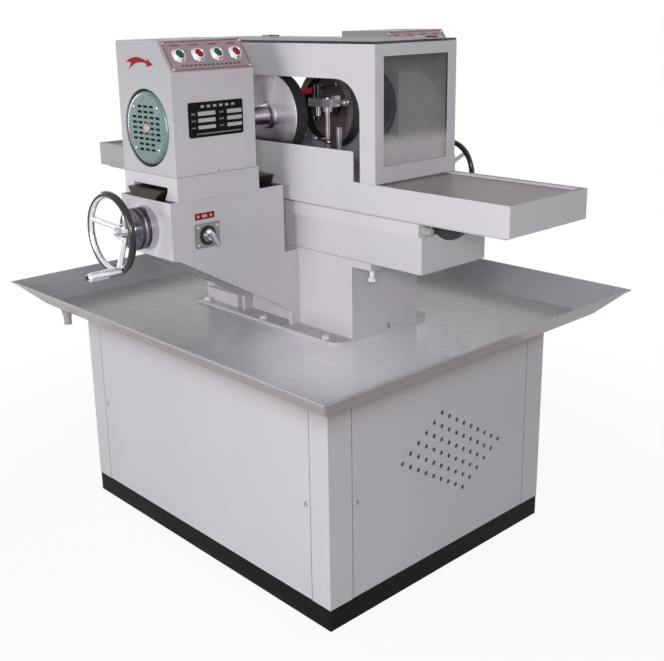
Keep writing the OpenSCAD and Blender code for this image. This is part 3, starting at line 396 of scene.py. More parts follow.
def moulded(name, colour, roughness, coat=0.0, gloss=0.3):
    """Moulded plastic with a fine satin skin."""
    return clouded(
        name, colour, (90.0, 2.0), (0.92, 1.06), (roughness - 0.05, roughness + 0.06),
        (1400.0, 1.0), (0.0001, 0.2), coat=coat, specular=gloss,
    )


def enamel(name, colour, roughness, coat, level=0.03, grain=1.0, overlay=None, downward_shade=None, shaded_span=None):
    """Sprayed enamel: a faint cloud in its colour, and orange peel.

    The last three arguments are painted shade: the (tone, share) on faces that look up, the (tone,
    share) on faces that look down, and (axis, first, last, tone) for a tone between two places on an axis.
    """
    shader = Shader(name, coat=coat, specular=0.32)
    cloud = shader.noise(*CLOUD)
    paint = cloud.soft().shade(colour, 1 - level, 1 + level)
    rough = cloud.soft(roughness - 0.03, roughness + 0.04)
    # Painted shade: along an axis, then on faces that look up and on faces that look down.
    if shaded_span:
        axis, first, last, shade_tone = shaded_span
        paint = shader.axes()[axis].spread(first, last, smooth=True).mix(paint, shade_tone)
    if overlay:
        paint = (shader.spot("Normal")[2].spread(0.6, 0.95) * overlay[1]).mix(paint, overlay[0])
    if downward_shade:
        under = shader.spot("Normal")[2].spread(-0.12, -0.5) * downward_shade[1]
        paint = under.mix(paint, downward_shade[0])
        rough = rough + under * 0.4
    peel = shader.noise(*PEEL) * 0.7 + shader.noise(60.0, 2.0, 0.6) * 0.3
    return shader.finish(paint, rough, peel, 0.00025 * grain, 0.15)


def head_enamel(name, grey):
    """Enamel on a wheel head, with painted shade on its outer end, more so towards the top."""
    shader = Shader(name, coat=0.06, specular=0.32)
    cloud = shader.noise(*CLOUD)
    facing = shader.spot("Normal")[1]
    heights = (0.86, 1.16)
    # Painted shade: the end faces darken to 0.64 of the grey, more so higher up.
    haze_and_shade = (shader.axes()[2] + (cloud - 0.5) * 0.06).spread(*heights, 0.45, 1.0)
    outer = (facing * facing).spread(0.7, 0.95) * haze_and_shade
    paint = outer.mix(cloud.soft().shade(grey, 0.97, 1.03), [0.64 * c for c in grey])
    return shader.finish(paint, cloud.soft(0.39, 0.46), shader.noise(*PEEL), 0.00025, 0.15)


def arm_enamel(name, grey):
    """Enamel on an arm: bare metal with oil on its ways, and painted shade on what faces down."""
    shader = Shader(name, coat=0.05, specular=0.15)
    cloud = shader.noise(*CLOUD)
    oil = shader.noise(30.0, 3.0, 0.6, (1, 6, 1))
    bare = shader.axes()[2].spread(ARM_TOP - 0.0004, ARM_TOP)
    # Painted shade: faces that look down turn dark brown, for the shaded hollow underneath.
    under = shader.spot("Normal")[2].spread(-0.2, -0.5)
    paint = (under * 0.97).mix(cloud.soft().shade(grey, 0.965, 1.035), tone(34, 25, 25))
    metal = oil.soft().shade(tone(62, 54, 50), 0.6, 1.3)
    rough = cloud.soft(0.41, 0.48) - bare * 0.08 + under * 0.45
    shader.set("Metallic", bare * 0.6)
    return shader.finish(bare.mix(paint, metal), rough, shader.noise(*PEEL), 0.0003, 0.15)


def tray_enamel(name, cabinet):
    """Tray enamel: a painted highlight at one corner, painted shade over the rest of its floor and on what
    faces down.
    """
    shader = Shader(name, coat=0.25, specular=0.4)
    across, along, _ = shader.axes()
    facing = shader.spot("Normal")[2]
    smear = shader.noise(7.0, 4.0, 0.62, (1, 0.35, 1))
    # Painted highlight near one corner; elsewhere the floor is painted darker as shade.
    reach = distance(across - SHEEN_CORNER[0], along - SHEEN_CORNER[1]) + (smear - 0.5) * 0.03
    painted_sheen = reach.spread(0.5, 0.1, smooth=True) * facing.spread(0.5, 0.9)
    under = facing.spread(-0.1, -0.45)
    overlay = shader.noise(*CLOUD).soft().shade(cabinet, 0.62, 0.67)
    paint = (under * 0.9).mix(painted_sheen.mix(overlay, tone(238, 234, 243)), tone(148, 137, 138))
    rough = smear.soft(0.25, 0.3) + under * 0.3
    return shader.finish(paint, rough, shader.noise(60.0, 2.0, 0.6), 0.00015, 0.12)


def clamp_paint(name, steel):
    """The clamp lever: a steel screw and dark hub, and red on the arm that is held."""
    shader = Shader(name)
    across, along, _ = shader.axes(shader.place(CLAMP))
    radius = distance(across, along)
    cloud = shader.noise(90.0, 2.0)
    screw_edge, hub_edge = (0.0066, 0.0072), (0.0125, 0.0135)
    arm = radius.spread(*hub_edge)
    screw = 1 - radius.spread(*screw_edge)
    red = cloud.soft().shade(tone(216, 36, 62), 0.9, 1.08)
    bright = cloud.soft().shade(steel, 0.85, 1.0)
    held = arm.mix(screw.mix(tone(58, 54, 60), bright), red)
    shader.set("Metallic", (1 - arm) * 0.8)
    shader.set("Coat Weight", arm * 0.4)
    tail = arm * (across > 0.0)
    return shader.finish(tail.mix(held, tone(54, 24, 26)), cloud.soft(0.24, 0.34))


def plinth_enamel(name, black):
    """Black enamel that has stood on a workshop floor: scuffs and grey dust low down."""
    shader = Shader(name, specular=0.05)
    smear = shader.noise(9.0, 4.0, 0.62, (1, 1, 0.12))
    speck = shader.noise(130.0, 3.0, 0.7)
    low = shader.axes()[2].spread(0.0, PLINTH_TOP, 0.5, 0.1)
    dust = (smear * 0.6 + speck * 0.4).spread(0.52, 0.74) * low
    paint = dust.mix(black, tone(70, 68, 66))
    return shader.finish(paint, dust.spread(0.0, 0.6, 0.38, 0.75), speck, 0.0006, 0.3)


def hammer_finish(name, colour):
    """Hammered enamel: raised beads with darker joints between them."""
    shader = Shader(name, metallic=0.25, coat=0.8)
    cells = shader.add(
        "ShaderNodeTexVoronoi", {"feature": "SMOOTH_F1"},
        {"Vector": shader.point, "Scale": 260.0, "Smoothness": 0.6, "Randomness": 1.0},
    )
    beads = cells.spread(0.15, 0.75)
    rough = beads.spread(0.0, 1.0, 0.28, 0.46)
    return shader.finish(beads.shade(colour, 1.25, 0.72), rough, 1 - beads, 0.0006, 0.35)


def turned_metal(name, colour, centre, levels, rough, fineness, stained=None):
    """Metal with the fine rings of a lathe tool, stained dark within a distance of the middle."""
    shader = Shader(name, metallic=1.0)
    radius, along = shader.about_y(centre)
    rings = shader.noise(fineness, depth=radius + along * 0.8)
    metal = rings.spread(0.35, 0.65).shade(colour, *levels)
    roughness = rings.soft(*rough)
    if stained:
        dark = along * along < stained ** 2
        metal = dark.mix(metal, tone(66, 57, 63))
        roughness = roughness + dark * 0.2
        shader.set("Metallic", 1 - dark * 0.8)
    return shader.finish(metal, roughness, rings, 0.00012, 0.35)


def ground_metal(name, colour, stretch=(1 / 0.03, 1, 1), roughness=0.28):
    """Metal ground along one axis, with fine lines that way."""
    shader = Shader(name, metallic=1.0)
    lines = shader.noise(700.0, 2.0, 0.6, stretch)
    rough = shader.noise(14.0, 3.0, 0.6).soft(roughness - 0.05, roughness + 0.1)
    return shader.finish(lines.soft().shade(colour, 0.94, 1.06), rough, lines, 0.00012, 0.3)


def wheel_rim(name, chrome, sign):
    """The handwheel: a painted dark reflection on the rim's outer edge, bright spokes and inner rim, and a
    blued dial drum.
    """
    shader = Shader(name)
    radius, along = shader.about_y(SCREW)
    cloud = shader.noise(60.0, 3.0, 0.6)
    dark_reflection_radii, drum_walls = (0.0752, 0.0774), (0.018, 0.05)
    # Painted reflection: the rim's outer edge is dark, as dark surroundings would show in chrome.
    edge = radius.spread(*dark_reflection_radii, smooth=True)
    drum = between(radius, *drum_walls) * (along * -sign < DRUM_END)
    blued = cloud.soft().shade(tone(96, 88, 100), 0.8, 1.1)
    shader.set("Metallic", 1 - edge)
    metal = edge.mix(drum.mix(chrome, blued), tone(24, 22, 26))
    return shader.finish(metal, cloud.soft(0.1, 0.2) + drum * 0.16, cloud, 0.0001, 0.15)


def cup_metal(name, colours, sign):
    """The grinding wheel: a spun metal cup with ring marks and a dark abrasive rim.

    A streak of light lies across its face and stays where it is as the wheel turns.
    """
    shader = Shader(name)
    radius, along = shader.about_y(SPINDLE)
    inward = along * -sign
    rings = shader.noise(900.0, 3.0, 0.7, depth=radius + inward)
    grit = shader.noise(1500.0, 2.0, 0.7)
    metal_end = (0.1028, 0.1036)
    ring = inward.spread(*metal_end, 1.0, 0.0)
    well = shader.spot("Normal")[1] * sign > 0.2
    dark = ring + well - ring * well
    # Painted highlight: a bright streak at a fixed turn in world space, and painted shade away from it.
    aside, _, above = shader.spot("Position")
    turned_to = aside * cos(HIGHLIGHT_TURN) + (above - SPINDLE[2]) * sin(HIGHLIGHT_TURN)
    lobe = turned_to / (radius + 0.001)
    fan = lobe.spread(0.1, 1.0, 0.15, 1.0, smooth=True)
    highlight_core = lobe.spread(0.6, 1.0, 0.0, 0.85)
    tint = highlight_core.mix(fan.shade(colours.wheel, 0.0, 1.0), tone(244, 240, 248))
    bare = (rings.soft() * 0.14).mix(tint, tone(120, 108, 120))
    sand = grit.soft().shade(colours.grit, 0.6, 1.6)
    shader.set("Metallic", (1 - dark) * (1 - highlight_core))
    return shader.finish(
        well.mix(ring.mix(bare, sand), tone(122, 104, 112)),
        rings.soft(0.26, 0.36) * (1 - dark) + 0.8 * dark,
        grit * dark * 0.5 + rings * (1 - dark), 0.0004, 0.6,
    )


def sheet(name, colour, alpha, roughness=0.06, overlay=None):
    """Glossy see-through sheet, a little scuffed, paler and less clear between two heights."""
    shader = Shader(name, specular=0.3, ior=1.49)
    haze_and_shade = shader.noise(18.0, 4.0, 0.65)
    tint = haze_and_shade.soft().shade(colour, 0.96, 1.04)
    cover = haze_and_shade.spread(0.3, 0.75, alpha - 0.02, alpha + 0.04)
    if overlay:
        level = shader.axes()[2] + (haze_and_shade - 0.5) * 0.02
        pale_band = level.spread(overlay[1], overlay[0], smooth=True)
        tint = pale_band.mix(tint, tone(214, 209, 215))
        cover = cover + pale_band * (0.56 - cover)
    shader.set("Alpha", cover)
    rough = haze_and_shade.spread(0.3, 0.75, roughness, roughness + 0.1)
    return shader.finish(tint, rough, shader.noise(3.0, 1.0), 0.0006, 0.1)


def printed_buttons(name, colours, sign):
    """The plate under four buttons: a border line, red bars above and small dashes below."""
    shader = Shader(name, metallic=0.35, coat=0.1)
    centre = (SHOULDER.x, sign * SHOULDER.y, SHOULDER.z)
    down, along, _ = shader.axes(shader.place(centre, (0, SHOULDER_ANGLE, 0)))
    brushed = shader.noise(500.0, 2.0, 0.6, (1, 0.04, 1))
    outer, inner = Vector((0.0335, 0.099)), Vector((0.0315, 0.097))
    line = patch(down, along, -outer, outer) * (1 - patch(down, along, -inner, inner))
    bars = 0.0
    for y in BUTTON_Y:
        middle = sign * (y - SHOULDER.y)
        bars = patch(down, along, (-0.0262, middle - 0.011), (-0.0222, middle + 0.011)) + bars
    pitch, dash = 0.011, 0.0075
    dashes = patch(down, along, (0.0215, -0.074), (0.0265, 0.074)) * ((along % pitch) < dash)
    plate = brushed.soft().shade(colours.button_plate, 0.94, 1.05)
    plate = (bars * 0.8).mix(line.mix(plate, colours.border), colours.border)
    plate = (dashes * 0.85).mix(plate, tone(70, 52, 60))
    return shader.finish(plate, brushed.soft(0.34, 0.46), brushed, 0.0001, 0.2)


def printed_name(name, colours):
    """A blank data plate: a row of small squares, three rows of empty boxes and a foot line."""
    shader = Shader(name, specular=0.08)
    height, width = NAME_HIGH.z - NAME_LOW.z, NAME_HIGH.y - NAME_LOW.y
    _, y, z = shader.axes(shader.place((0, NAME_LOW.y, NAME_HIGH.z), scale=(1, width, -height)))
    head = patch(z, y, (0.095, 0.2), (0.165, 0.84)) * ((y % 0.112) < 0.06)
    foot = patch(z, y, (0.885, 0.14), (0.915, 0.95)) * ((y % 0.035) < 0.026)
    ink = head * 0.85 + foot * 0.7
    for top, bottom in ((0.27, 0.385), (0.465, 0.575), (0.665, 0.765)):
        row = between(z, top, bottom) * (between(y, 0.17, 0.485) + between(y, 0.7, 0.975))
        labels = between(y, 0.05, 0.125) + between(y, 0.555, 0.635)
        labels = between(z, top + 0.03, bottom - 0.03) * labels * ((y % 0.028) < 0.018)
        ink = ink + row + labels * 0.55
    grain = shader.noise(420.0, 2.0)
    black = grain.shade(colours.name_plate, 0.7, 1.4)
    plate = ink.mix(black, tone(186, 180, 188))
    return shader.finish(plate, grain.soft(0.42, 0.52), grain, 0.0001, 0.2)


def printed_sign(name, colours, low, high):
    """A red sign on the +X face with three light marks on it."""
    shader = Shader(name, specular=0.15)
    size = Vector(high) - Vector(low)
    _, y, z = shader.axes(shader.place(low, scale=(1, size.y, size.z)))
    marks = between(y, 0.1, 0.22) + between(y, 0.36, 0.62) + between(y, 0.76, 0.88)
    fleck = shader.noise(500.0, 2.0)
    red = fleck.shade(colours.sign, 0.85, 1.15)
    sign = (between(z, 0.28, 0.72) * marks * 0.55).mix(red, colours.white)
    return shader.finish(sign, fleck.soft(0.36, 0.46))


# ---------------------------------------------------------------- shapes


def soften(shape, edges, width, segments):
    """Rounds some edges of a shape."""
    bmesh.ops.bevel(
        shape, geom=edges, offset=width, offset_type="OFFSET", segments=segments,
        profile=0.5, affect="EDGES", clamp_overlap=True, material=-1,
    )


def block(low, high, bevel=0.0, segments=2):
    """A box between two corners, with its edges rounded."""
    low, high = Vector(low), Vector(high)
    shape = bmesh.new()
    size = Matrix.Diagonal((*(high - low), 1.0))
    bmesh.ops.create_cube(shape, size=1.0, matrix=Matrix.Translation((low + high) / 2) @ size)
    if bevel:
        soften(shape, shape.edges[:], bevel, segments)
    return shape


def turned(outline, place, steps):
    """A shape of revolution from (radius, height) points about its own z."""
    shape = bmesh.new()
    points = [shape.verts.new((radius, 0.0, height)) for radius, height in outline]
    edges = [shape.edges.new(pair) for pair in zip(points, points[1:])]
    bmesh.ops.spin(
        shape, geom=points + edges, cent=(0, 0, 0), axis=(0, 0, 1), dvec=(0, 0, 0),
        angle=2 * pi, steps=steps, use_merge=True, use_duplicate=False,
    )
    bmesh.ops.remove_doubles(shape, verts=shape.verts[:], dist=1e-7)
    bmesh.ops.recalc_face_normals(shape, faces=shape.faces[:])
    bmesh.ops.transform(shape, matrix=place, verts=shape.verts[:])
    return shape


def prism(outline, depth, place, bevel=0.0):
    """A flat outline of (x, y) points pushed out along z, its top edge broken."""
    shape = bmesh.new()
    face = shape.faces.new([shape.verts.new((x, y, 0.0)) for x, y in outline])
    pushed = bmesh.ops.extrude_face_region(shape, geom=[face])
    top = [item for item in pushed["geom"] if isinstance(item, bmesh.types.BMVert)]
    bmesh.ops.translate(shape, vec=(0, 0, depth), verts=top)
    bmesh.ops.recalc_face_normals(shape, faces=shape.faces[:])
    if bevel:
        soften(shape, [edge for edge in shape.edges if all(vert in top for vert in edge.verts)], bevel, 1)
    bmesh.ops.transform(shape, matrix=place, verts=shape.verts[:])
    return shape


def tube(path, radius, sides, closed=False):
    """A round bar along a path of points."""
    count = len(path)
    shape = bmesh.new()
    loops = []
    for number, point in enumerate(path):
        ahead = Vector(path[(number + 1) % count if closed else min(number + 1, count - 1)])
        behind = Vector(path[number - 1 if closed or number else 0])
        turn = (ahead - behind).to_track_quat("Z", "Y").to_matrix().to_4x4()
        ring = bmesh.ops.create_circle(
            shape, cap_ends=False, radius=radius, segments=sides,
            matrix=Matrix.Translation(Vector(point)) @ turn,
        )["verts"]
        loops.append([edge for edge in shape.edges if all(vert in ring for vert in edge.verts)])
    for first, second in list(zip(loops, loops[1:])) + ([(loops[-1], loops[0])] if closed else []):
        bmesh.ops.bridge_loops(shape, edges=first + second)
    if not closed:
        bmesh.ops.holes_fill(shape, edges=shape.edges[:], sides=sides)
    bmesh.ops.recalc_face_normals(shape, faces=shape.faces[:])
    return shape


def rounded(width, height, corner, steps=6):
    """The outline of a rectangle with round corners, about the origin."""
    outline = []
    for number, (sx, sy) in enumerate(((1, 1), (-1, 1), (-1, -1), (1, -1))):
        for step in range(steps + 1):
            angle = pi / 2 * (number + step / steps)
            outline.append((
                sx * (width / 2 - corner) + corner * cos(angle),
                sy * (height / 2 - corner) + corner * sin(angle),
            ))
    return outline


def heading(degrees):
    """The flat direction at an angle."""
    return Vector((cos(radians(degrees)), sin(radians(degrees))))


def toward(point, direction, spin=0.0):
    """A place whose z points along a direction."""
    turn = Vector(direction).to_track_quat("Z", "Y").to_matrix().to_4x4()
    return Matrix.Translation(Vector(point)) @ turn @ Matrix.Rotation(spin, 4, "Z")


def slotted_screw(point, direction, radius, height, spin=0.0):
    """The domed, cross-cut head of a screw."""
    dome = [(0.0, height), (radius * 0.55, height * 0.92), (radius * 0.86, height * 0.6), (radius, 0.0)]
    head = turned(dome + [(0.0, 0.0)], Matrix.Identity(4), 20)
    cut = radius * 0.16
    wall = [vert for vert in head.verts if vert.co.length < 1e-6 + height and abs(vert.co.x) < cut]
    bmesh.ops.translate(head, vec=(0, 0, -height * 0.35), verts=[v for v in wall if v.co.z > height * 0.5])
    bmesh.ops.transform(head, matrix=toward(point, direction, spin), verts=head.verts[:])
    return head


def screw_circle(count, start, reach, y, direction, radius, height):
    """Screws on a circle round the spindle."""
    screws = []
    for number in range(count):
        angle = radians(start + 360 / count * number)
        point = (reach * cos(angle), y, SPINDLE[2] + reach * sin(angle))
        screws.append(slotted_screw(point, direction, radius, height, angle))
    return screws


def mirrored(shapes, sign):
    """Shapes of the near end, or their mirror images at the far end."""
    if sign < 0:
        for shape in shapes:
            bmesh.ops.transform(shape, matrix=Matrix.Diagonal((1, -1, 1, 1)), verts=shape.verts[:])
            bmesh.ops.reverse_faces(shape, faces=shape.faces[:])
    return shapes


def linked(name, data):
    """A new object in the scene."""
    thing = bpy.data.objects.new(name, data)
    bpy.context.scene.collection.objects.link(thing)
    return thing


def piece(name, shapes, finish, body, replaces=(), crease=32.0):
    """One object out of shapes that are already in place."""
    whole = bmesh.new()
    for shape in shapes:
        spare = bpy.data.meshes.new("spare")
        shape.to_mesh(spare)
        shape.free()
        whole.from_mesh(spare)
        bpy.data.meshes.remove(spare)
    mesh = bpy.data.meshes.new(name)
    whole.to_mesh(mesh)
    whole.free()
    mesh.materials.append(finish)
    mesh.shade_smooth()
    mesh.set_sharp_from_angle(angle=radians(crease))
    thing = linked(name, mesh)
    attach(thing, body)
    if replaces:
        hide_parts(*replaces)


def ends(name, shapes, finishes, body, replaces=None, crease=32.0):
    """A piece at the near end and, mirrored, at the far end, each with its own finish if told."""
    for number, (side, sign) in enumerate(SIDES):
        finish = finishes[number] if isinstance(finishes, list) else finishes
        copies = mirrored([shape.copy() for shape in shapes], sign)
        replaced = (f"{side}_{replaces}",) if replaces else ()
        piece(f"{side}_{name}", copies, finish, f"{side}_{body}", replaced, crease)


def dress(finish, *nodes):
    """Gives model nodes a finish."""
    for node in nodes:
        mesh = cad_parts[node].data
        mesh.materials.clear()
        mesh.materials.append(finish)


# ---------------------------------------------------------------- operators


def panel_values(context):
    """The colours and sizes of the scene."""
    return context.scene.grinder_colours, context.scene.grinder_sizes


class GRINDER_OT_castings(bpy.types.Operator):
    """Enamel on the bed, arms, heads, table and guard"""

    bl_idname = "grinder.castings"
    bl_label = "Castings"

    def execute(self, context):
        grey = panel_values(context)[0].grey
        # Painted shade: darker tops of the bed and table, darker faces that look down, and a darker far end
        # of the table.
        bed_top_shade, table_top_shade = (tone(150, 144, 150), 0.4), (tone(142, 130, 138), 0.75)
        shade = (tone(96, 90, 92), 0.8)
        table_end_shade = (0, -0.4, -0.52, tone(164, 162, 163))
        dress(enamel("grey_enamel", grey, 0.42, 0.06), "guard_box", "splash_boards")
        dress(enamel("bed_enamel", grey, 0.44, 0.05, 0.035, 1.6, bed_top_shade, shade), "bed_casting")
        dress(enamel("slide_enamel", grey, 0.44, 0.05, 0.035, 1.6), "near_slide", "far_slide")
        dress(enamel("table_enamel", grey, 0.46, 0.03, 0.04, 1.2, table_top_shade, shade, table_end_shade), "work_table")
        dress(arm_enamel("arm_enamel", grey), "near_arm", "far_arm")
        dress(head_enamel("head_enamel", grey), "near_housing", "far_housing")
        return {"FINISHED"}


class GRINDER_OT_cabinet(bpy.types.Operator):
    """Cabinet, tray, plinth, coolant tank and control box"""

    bl_idname = "grinder.cabinet"
    bl_label = "Cabinet and tray"

    def execute(self, context):
        colours, sizes = panel_values(context)
        panels = ("front_panel", "rear_panel", "vent_panel", "side_panel")
        # Painted shadow: the cabinet's top darkens under the tray's overhang.
        shade = (2, 0.42, 0.535, tone(146, 133, 132))
        cabinet = enamel("cabinet_enamel", colours.cabinet, 0.4, 0.08, 0.03, 0.8, shaded_span=shade)
        dress(cabinet, "cabinet_frame", "coolant_tank", "control_box", *panels)
        dress(tray_enamel("tray_enamel", colours.cabinet), "drip_tray")
        dress(plinth_enamel("plinth_enamel", colours.black), "plinth")
        dress(bare_iron("screw_zinc", tone(158, 155, 152), 0.36, 0.6), "panel_screws")
        dress(bare_iron("pump_iron", colours.iron), "coolant_pump")
        gap = moulded("gap_shade", tone(96, 92, 94), 0.7)
        piece("panel_gaps", self.gaps(panels), gap, "machine_base")
        # The rolled rim's pale enamel is a painted highlight along the tray's edge.
        hem = enamel("hem_highlight_enamel", tone(238, 233, 236), 0.35, 0.1)
        piece("tray_hem", self.rim(sizes.hem), hem, "machine_base")
        # Painted shade round the vent holes.
        edge = moulded("vent_hole_shade", tone(66, 62, 64), 0.6)
        piece("vent_shade_rings", self.vents(), edge, "machine_base")
        return {"FINISHED"}

    def gaps(self, panels):
        """Thin dark strips down both ends of each panel's face, painted shade of the gaps between panels.
        """
        proud, half = 0.0002, 0.0006
        strips = []
        for name in panels:
            low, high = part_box(name)
            thin = 0 if high.x - low.x < high.y - low.y else 1
            wide = 1 - thin
            face = high[thin] if high[thin] + low[thin] > 0 else low[thin]
            for place in (low[wide], high[wide]):
                start, end = Vector(low), Vector(high)
                start[wide], end[wide] = place - half, place + half
                start[thin], end[thin] = face - proud, face + proud
                strips.append(block(start, end))
        return strips

    def rim(self, hem):
        """The rolled rim of the tray, one bar along each edge."""
        low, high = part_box("drip_tray")
        corners = [
            (x - copysign(hem, x), y - copysign(hem, y), high.z - hem)
            for x, y in ((low.x, low.y), (high.x, low.y), (high.x, high.y), (low.x, high.y))
        ]
        return [tube(edge, hem, 10) for edge in zip(corners, corners[1:] + corners[:1])]

    def vents(self):
        """Dark rings round the vent's holes, painted shade that makes the holes look wider, in nine columns
        and six rows turned by 32 degrees.
        """
        columns, rows, pitch, turn = 9, 6, 0.03, heading(32)
        x, y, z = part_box("vent_panel")[1].x, 0.024, PLINTH_TOP + 0.233
        ring = [(0.004, 0.0), (0.004, 0.0002), (0.005, 0.0002), (0.0052, 0.0), (0.004, 0.0)]
        rings = []
        for column in range(columns):
            for row in range(rows):
                u, v = (column - (columns - 1) / 2) * pitch, (row - (rows - 1) / 2) * pitch
                spot = (x, y + (u - v) * turn.x, z - (u + v) * turn.y)
                rings.append(turned(ring, toward(spot, FORWARD), 20))
        return rings


class GRINDER_OT_ways(bpy.types.Operator):
    """Guide rails, rack, pinion and the feed motor"""

    bl_idname = "grinder.ways"
    bl_label = "Ways and feed"

    def execute(self, context):
        colours = panel_values(context)[0]
        pinion = turned_metal("pinion_steel", colours.steel, PINION, (0.95, 1.05), (0.25, 0.38), 2600.0)
        dress(enamel("rail_enamel", tone(208, 204, 209), 0.34, 0.1, 0.03, 0.6), "guide_rails")
        dress(ground_metal("rail_steel", colours.steel), "feed_rack")
        dress(pinion, "feed_pinion")
        dress(bare_iron("motor_iron", colours.iron, 0.45, 0.6), "feed_motor")
        fitting = [(0.0, 0.018), (0.0065, 0.018), (0.0085, 0.016), (0.0085, 0.01), (0.0105, 0.009),
                   (0.0105, 0.0), (0.0, 0.0)]
        place = toward((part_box("guide_rails")[1].x, -0.09, 0.806), FORWARD)
        white = moulded("fitting_white", tone(170, 167, 168), 0.35, 0.1)
        piece("rail_end_fitting", [turned(fitting, place, 28)], white, "machine_base")
        return {"FINISHED"}


class GRINDER_OT_wheels(bpy.types.Operator):
    """Grinding wheels, spindles, motors and the discs behind the wheels"""

    bl_idname = "grinder.wheels"
    bl_label = "Grinding wheels"

    def execute(self, context):
        colours, sizes = panel_values(context)
        spindle = turned_metal(
            "spindle_steel", colours.wheel, SPINDLE, (0.9, 1.0), (0.22, 0.34), 900.0, CUP_BACK
        )
        dress(spindle, "near_spindle", "far_spindle")
        dress(bare_iron("motor_case", colours.iron, 0.5, 0.5), "near_motor", "far_motor")
        dress(moulded("fan_plastic", tone(62, 84, 80), 0.45, 0.1), "near_fan", "far_fan")
        dark = bare_iron("splash_disc_iron", tone(58, 62, 78), 0.45, 0.35)
        outer, face = sizes.flange_radius, HEAD_HIGH.y
        section = [(0.034, 0.0), (0.034, 0.0055), (0.04, 0.006), (0.046, 0.0035), (outer - 0.01, 0.0035),
                   (outer - 0.006, 0.006), (outer - 0.001, 0.0055), (outer, 0.0), (0.034, 0.0)]
        wheel = [turned(self.cup_outline(sizes), toward(SPINDLE, OUTWARD), 144)]
        metals = [cup_metal(f"{side}_cup_metal", colours, sign) for side, sign in SIDES]
        ends("turned_wheel", wheel, metals, "rotor", "cup_wheel", 40.0)
        disc = [turned(section, toward((0, face, SPINDLE[2]), INWARD), 96)]
        disc += screw_circle(6, 30, 0.062, face + 0.0035, INWARD, 0.0045, 0.0025)
        ends("splash_disc", disc, dark, "head")
        return {"FINISHED"}

    def cup_outline(self, sizes):
        """Half the section of a wheel as (radius, distance from the machine's middle)."""
        bore, boss, rim, face = 0.01402, 0.026, 0.095, 0.07
        seat, edge = 0.11198, 0.104
        outline = [(bore, seat), (boss, seat), (boss + 0.002, seat - 0.0006), (boss + 0.005, edge + 0.004)]
        first, last = boss + 0.006, rim - 0.0015
        count = round((last - first) / sizes.ring_pitch) * 4
        for step in range(count + 1):
            share = step / count
            radius = first + share * (last - first)
            ripple = -0.5 * sizes.ring_depth * (1 - cos(share * count / 4 * 2 * pi))
            outline.append((radius, edge + 0.004 - share * 0.0038 + ripple))
        outline += [(rim - 0.0004, edge - 0.0004), (rim, edge - 0.0012), (rim, face + 0.001)]
        outline += [(rim - 0.001, face), (rim - 0.017, face), (rim - 0.018, face + 0.001)]
        outline += [(rim - 0.018, edge - 0.007), (0.058, edge - 0.005), (0.034, CUP_BACK)]
        return outline + [(bore, CUP_BACK), (bore, seat)]


class GRINDER_OT_cowls(bpy.types.Operator):
    """Fan cowls with their hammered finish, badges and screws"""

    bl_idname = "grinder.cowls"
    bl_label = "Fan cowls"

    def execute(self, context):
        colours = panel_values(context)[0]
        badge = ground_metal("badge_metal", tone(168, 152, 148), (1, 1, 20), 0.34)
        screw = plated("cowl_screw", colours.steel, 0.3)
        dress(hammer_finish("hammered_teal", colours.teal), "near_cowl", "far_cowl")
        disc = [(0.0, 0.0016), (0.0085, 0.0016), (0.0094, 0.0008), (0.0098, 0.0), (0.0, 0.0)]
        shapes = [turned(disc, toward((0, COWL_FACE, SPINDLE[2]), OUTWARD), 40)]
        ends("cowl_badge", shapes, badge, "head")
        shapes = screw_circle(4, 45, 0.06, COWL_FACE + 0.0002, OUTWARD, 0.0026, 0.0016)
        ends("cowl_screws", shapes, screw, "head")
        return {"FINISHED"}


class GRINDER_OT_handwheels(bpy.types.Operator):
    """Handwheels, crank grips, dials and their flanges"""

    bl_idname = "grinder.handwheels"
    bl_label = "Handwheels"

    def execute(self, context):
        colours = panel_values(context)[0]
        flange = plated("dial_flange_chrome", tone(196, 192, 202), 0.16)
        steel = turned_metal("dial_steel", tone(150, 148, 156), SCREW, (0.95, 1.05), (0.17, 0.3), 1800.0)
        mark = moulded("dial_mark", tone(30, 30, 34), 0.4)
        dress(flange, "dial_flanges")
        dress(plated("grip_chrome", colours.chrome, 0.12), "near_grip", "far_grip")
        tip = [(0.0, 0.0105), (0.0035, 0.01), (0.0055, 0.0085), (0.0062, 0.006), (0.0, 0.006)]
        collar = [(0.044, 0.000), (0.0447, 0.0006), (0.0447, 0.0044), (0.044, 0.005), (0.0436, 0.005),
                  (0.0436, 0.000), (0.044, 0.000)]
        for side, sign in SIDES:
            dress(wheel_rim(f"{side}_wheel_chrome", colours.chrome, sign), f"{side}_handwheel")
        hub, dial = (toward((0, y, SCREW[2]), OUTWARD) for y in (HUB_FACE, RING_FACE))
        hexagon = [0.0095 * heading(60 * number) for number in range(6)]
        nut = [prism(hexagon, 0.006, hub, 0.0008), turned(tip, hub, 24)]
        ends("hub_nut", nut, flange, "feed_wheel")
        ends("dial_ring", [turned(collar, dial, 96)], steel, "feed_wheel")
        ends("dial_ticks", self.ticks(), mark, "feed_wheel")
        return {"FINISHED"}

    def ticks(self):
        """Sixty marks round the dial drum, every fifth of them longer."""
        ticks = []
        for number in range(60):
            length = 0.0056 if number % 5 == 0 else 0.0034
            tick = block((-0.0002, -length / 2, 0.0), (0.0002, length / 2, 0.0004))
            turn = Matrix.Rotation(radians(6 * number), 4, "Y")
            spot = Matrix.Translation((0, TICKS_Y, SCREW[2])) @ turn @ Matrix.Translation((0, 0, 0.044))
            bmesh.ops.transform(tick, matrix=spot, verts=tick.verts[:])
            ticks.append(tick)
        return ticks


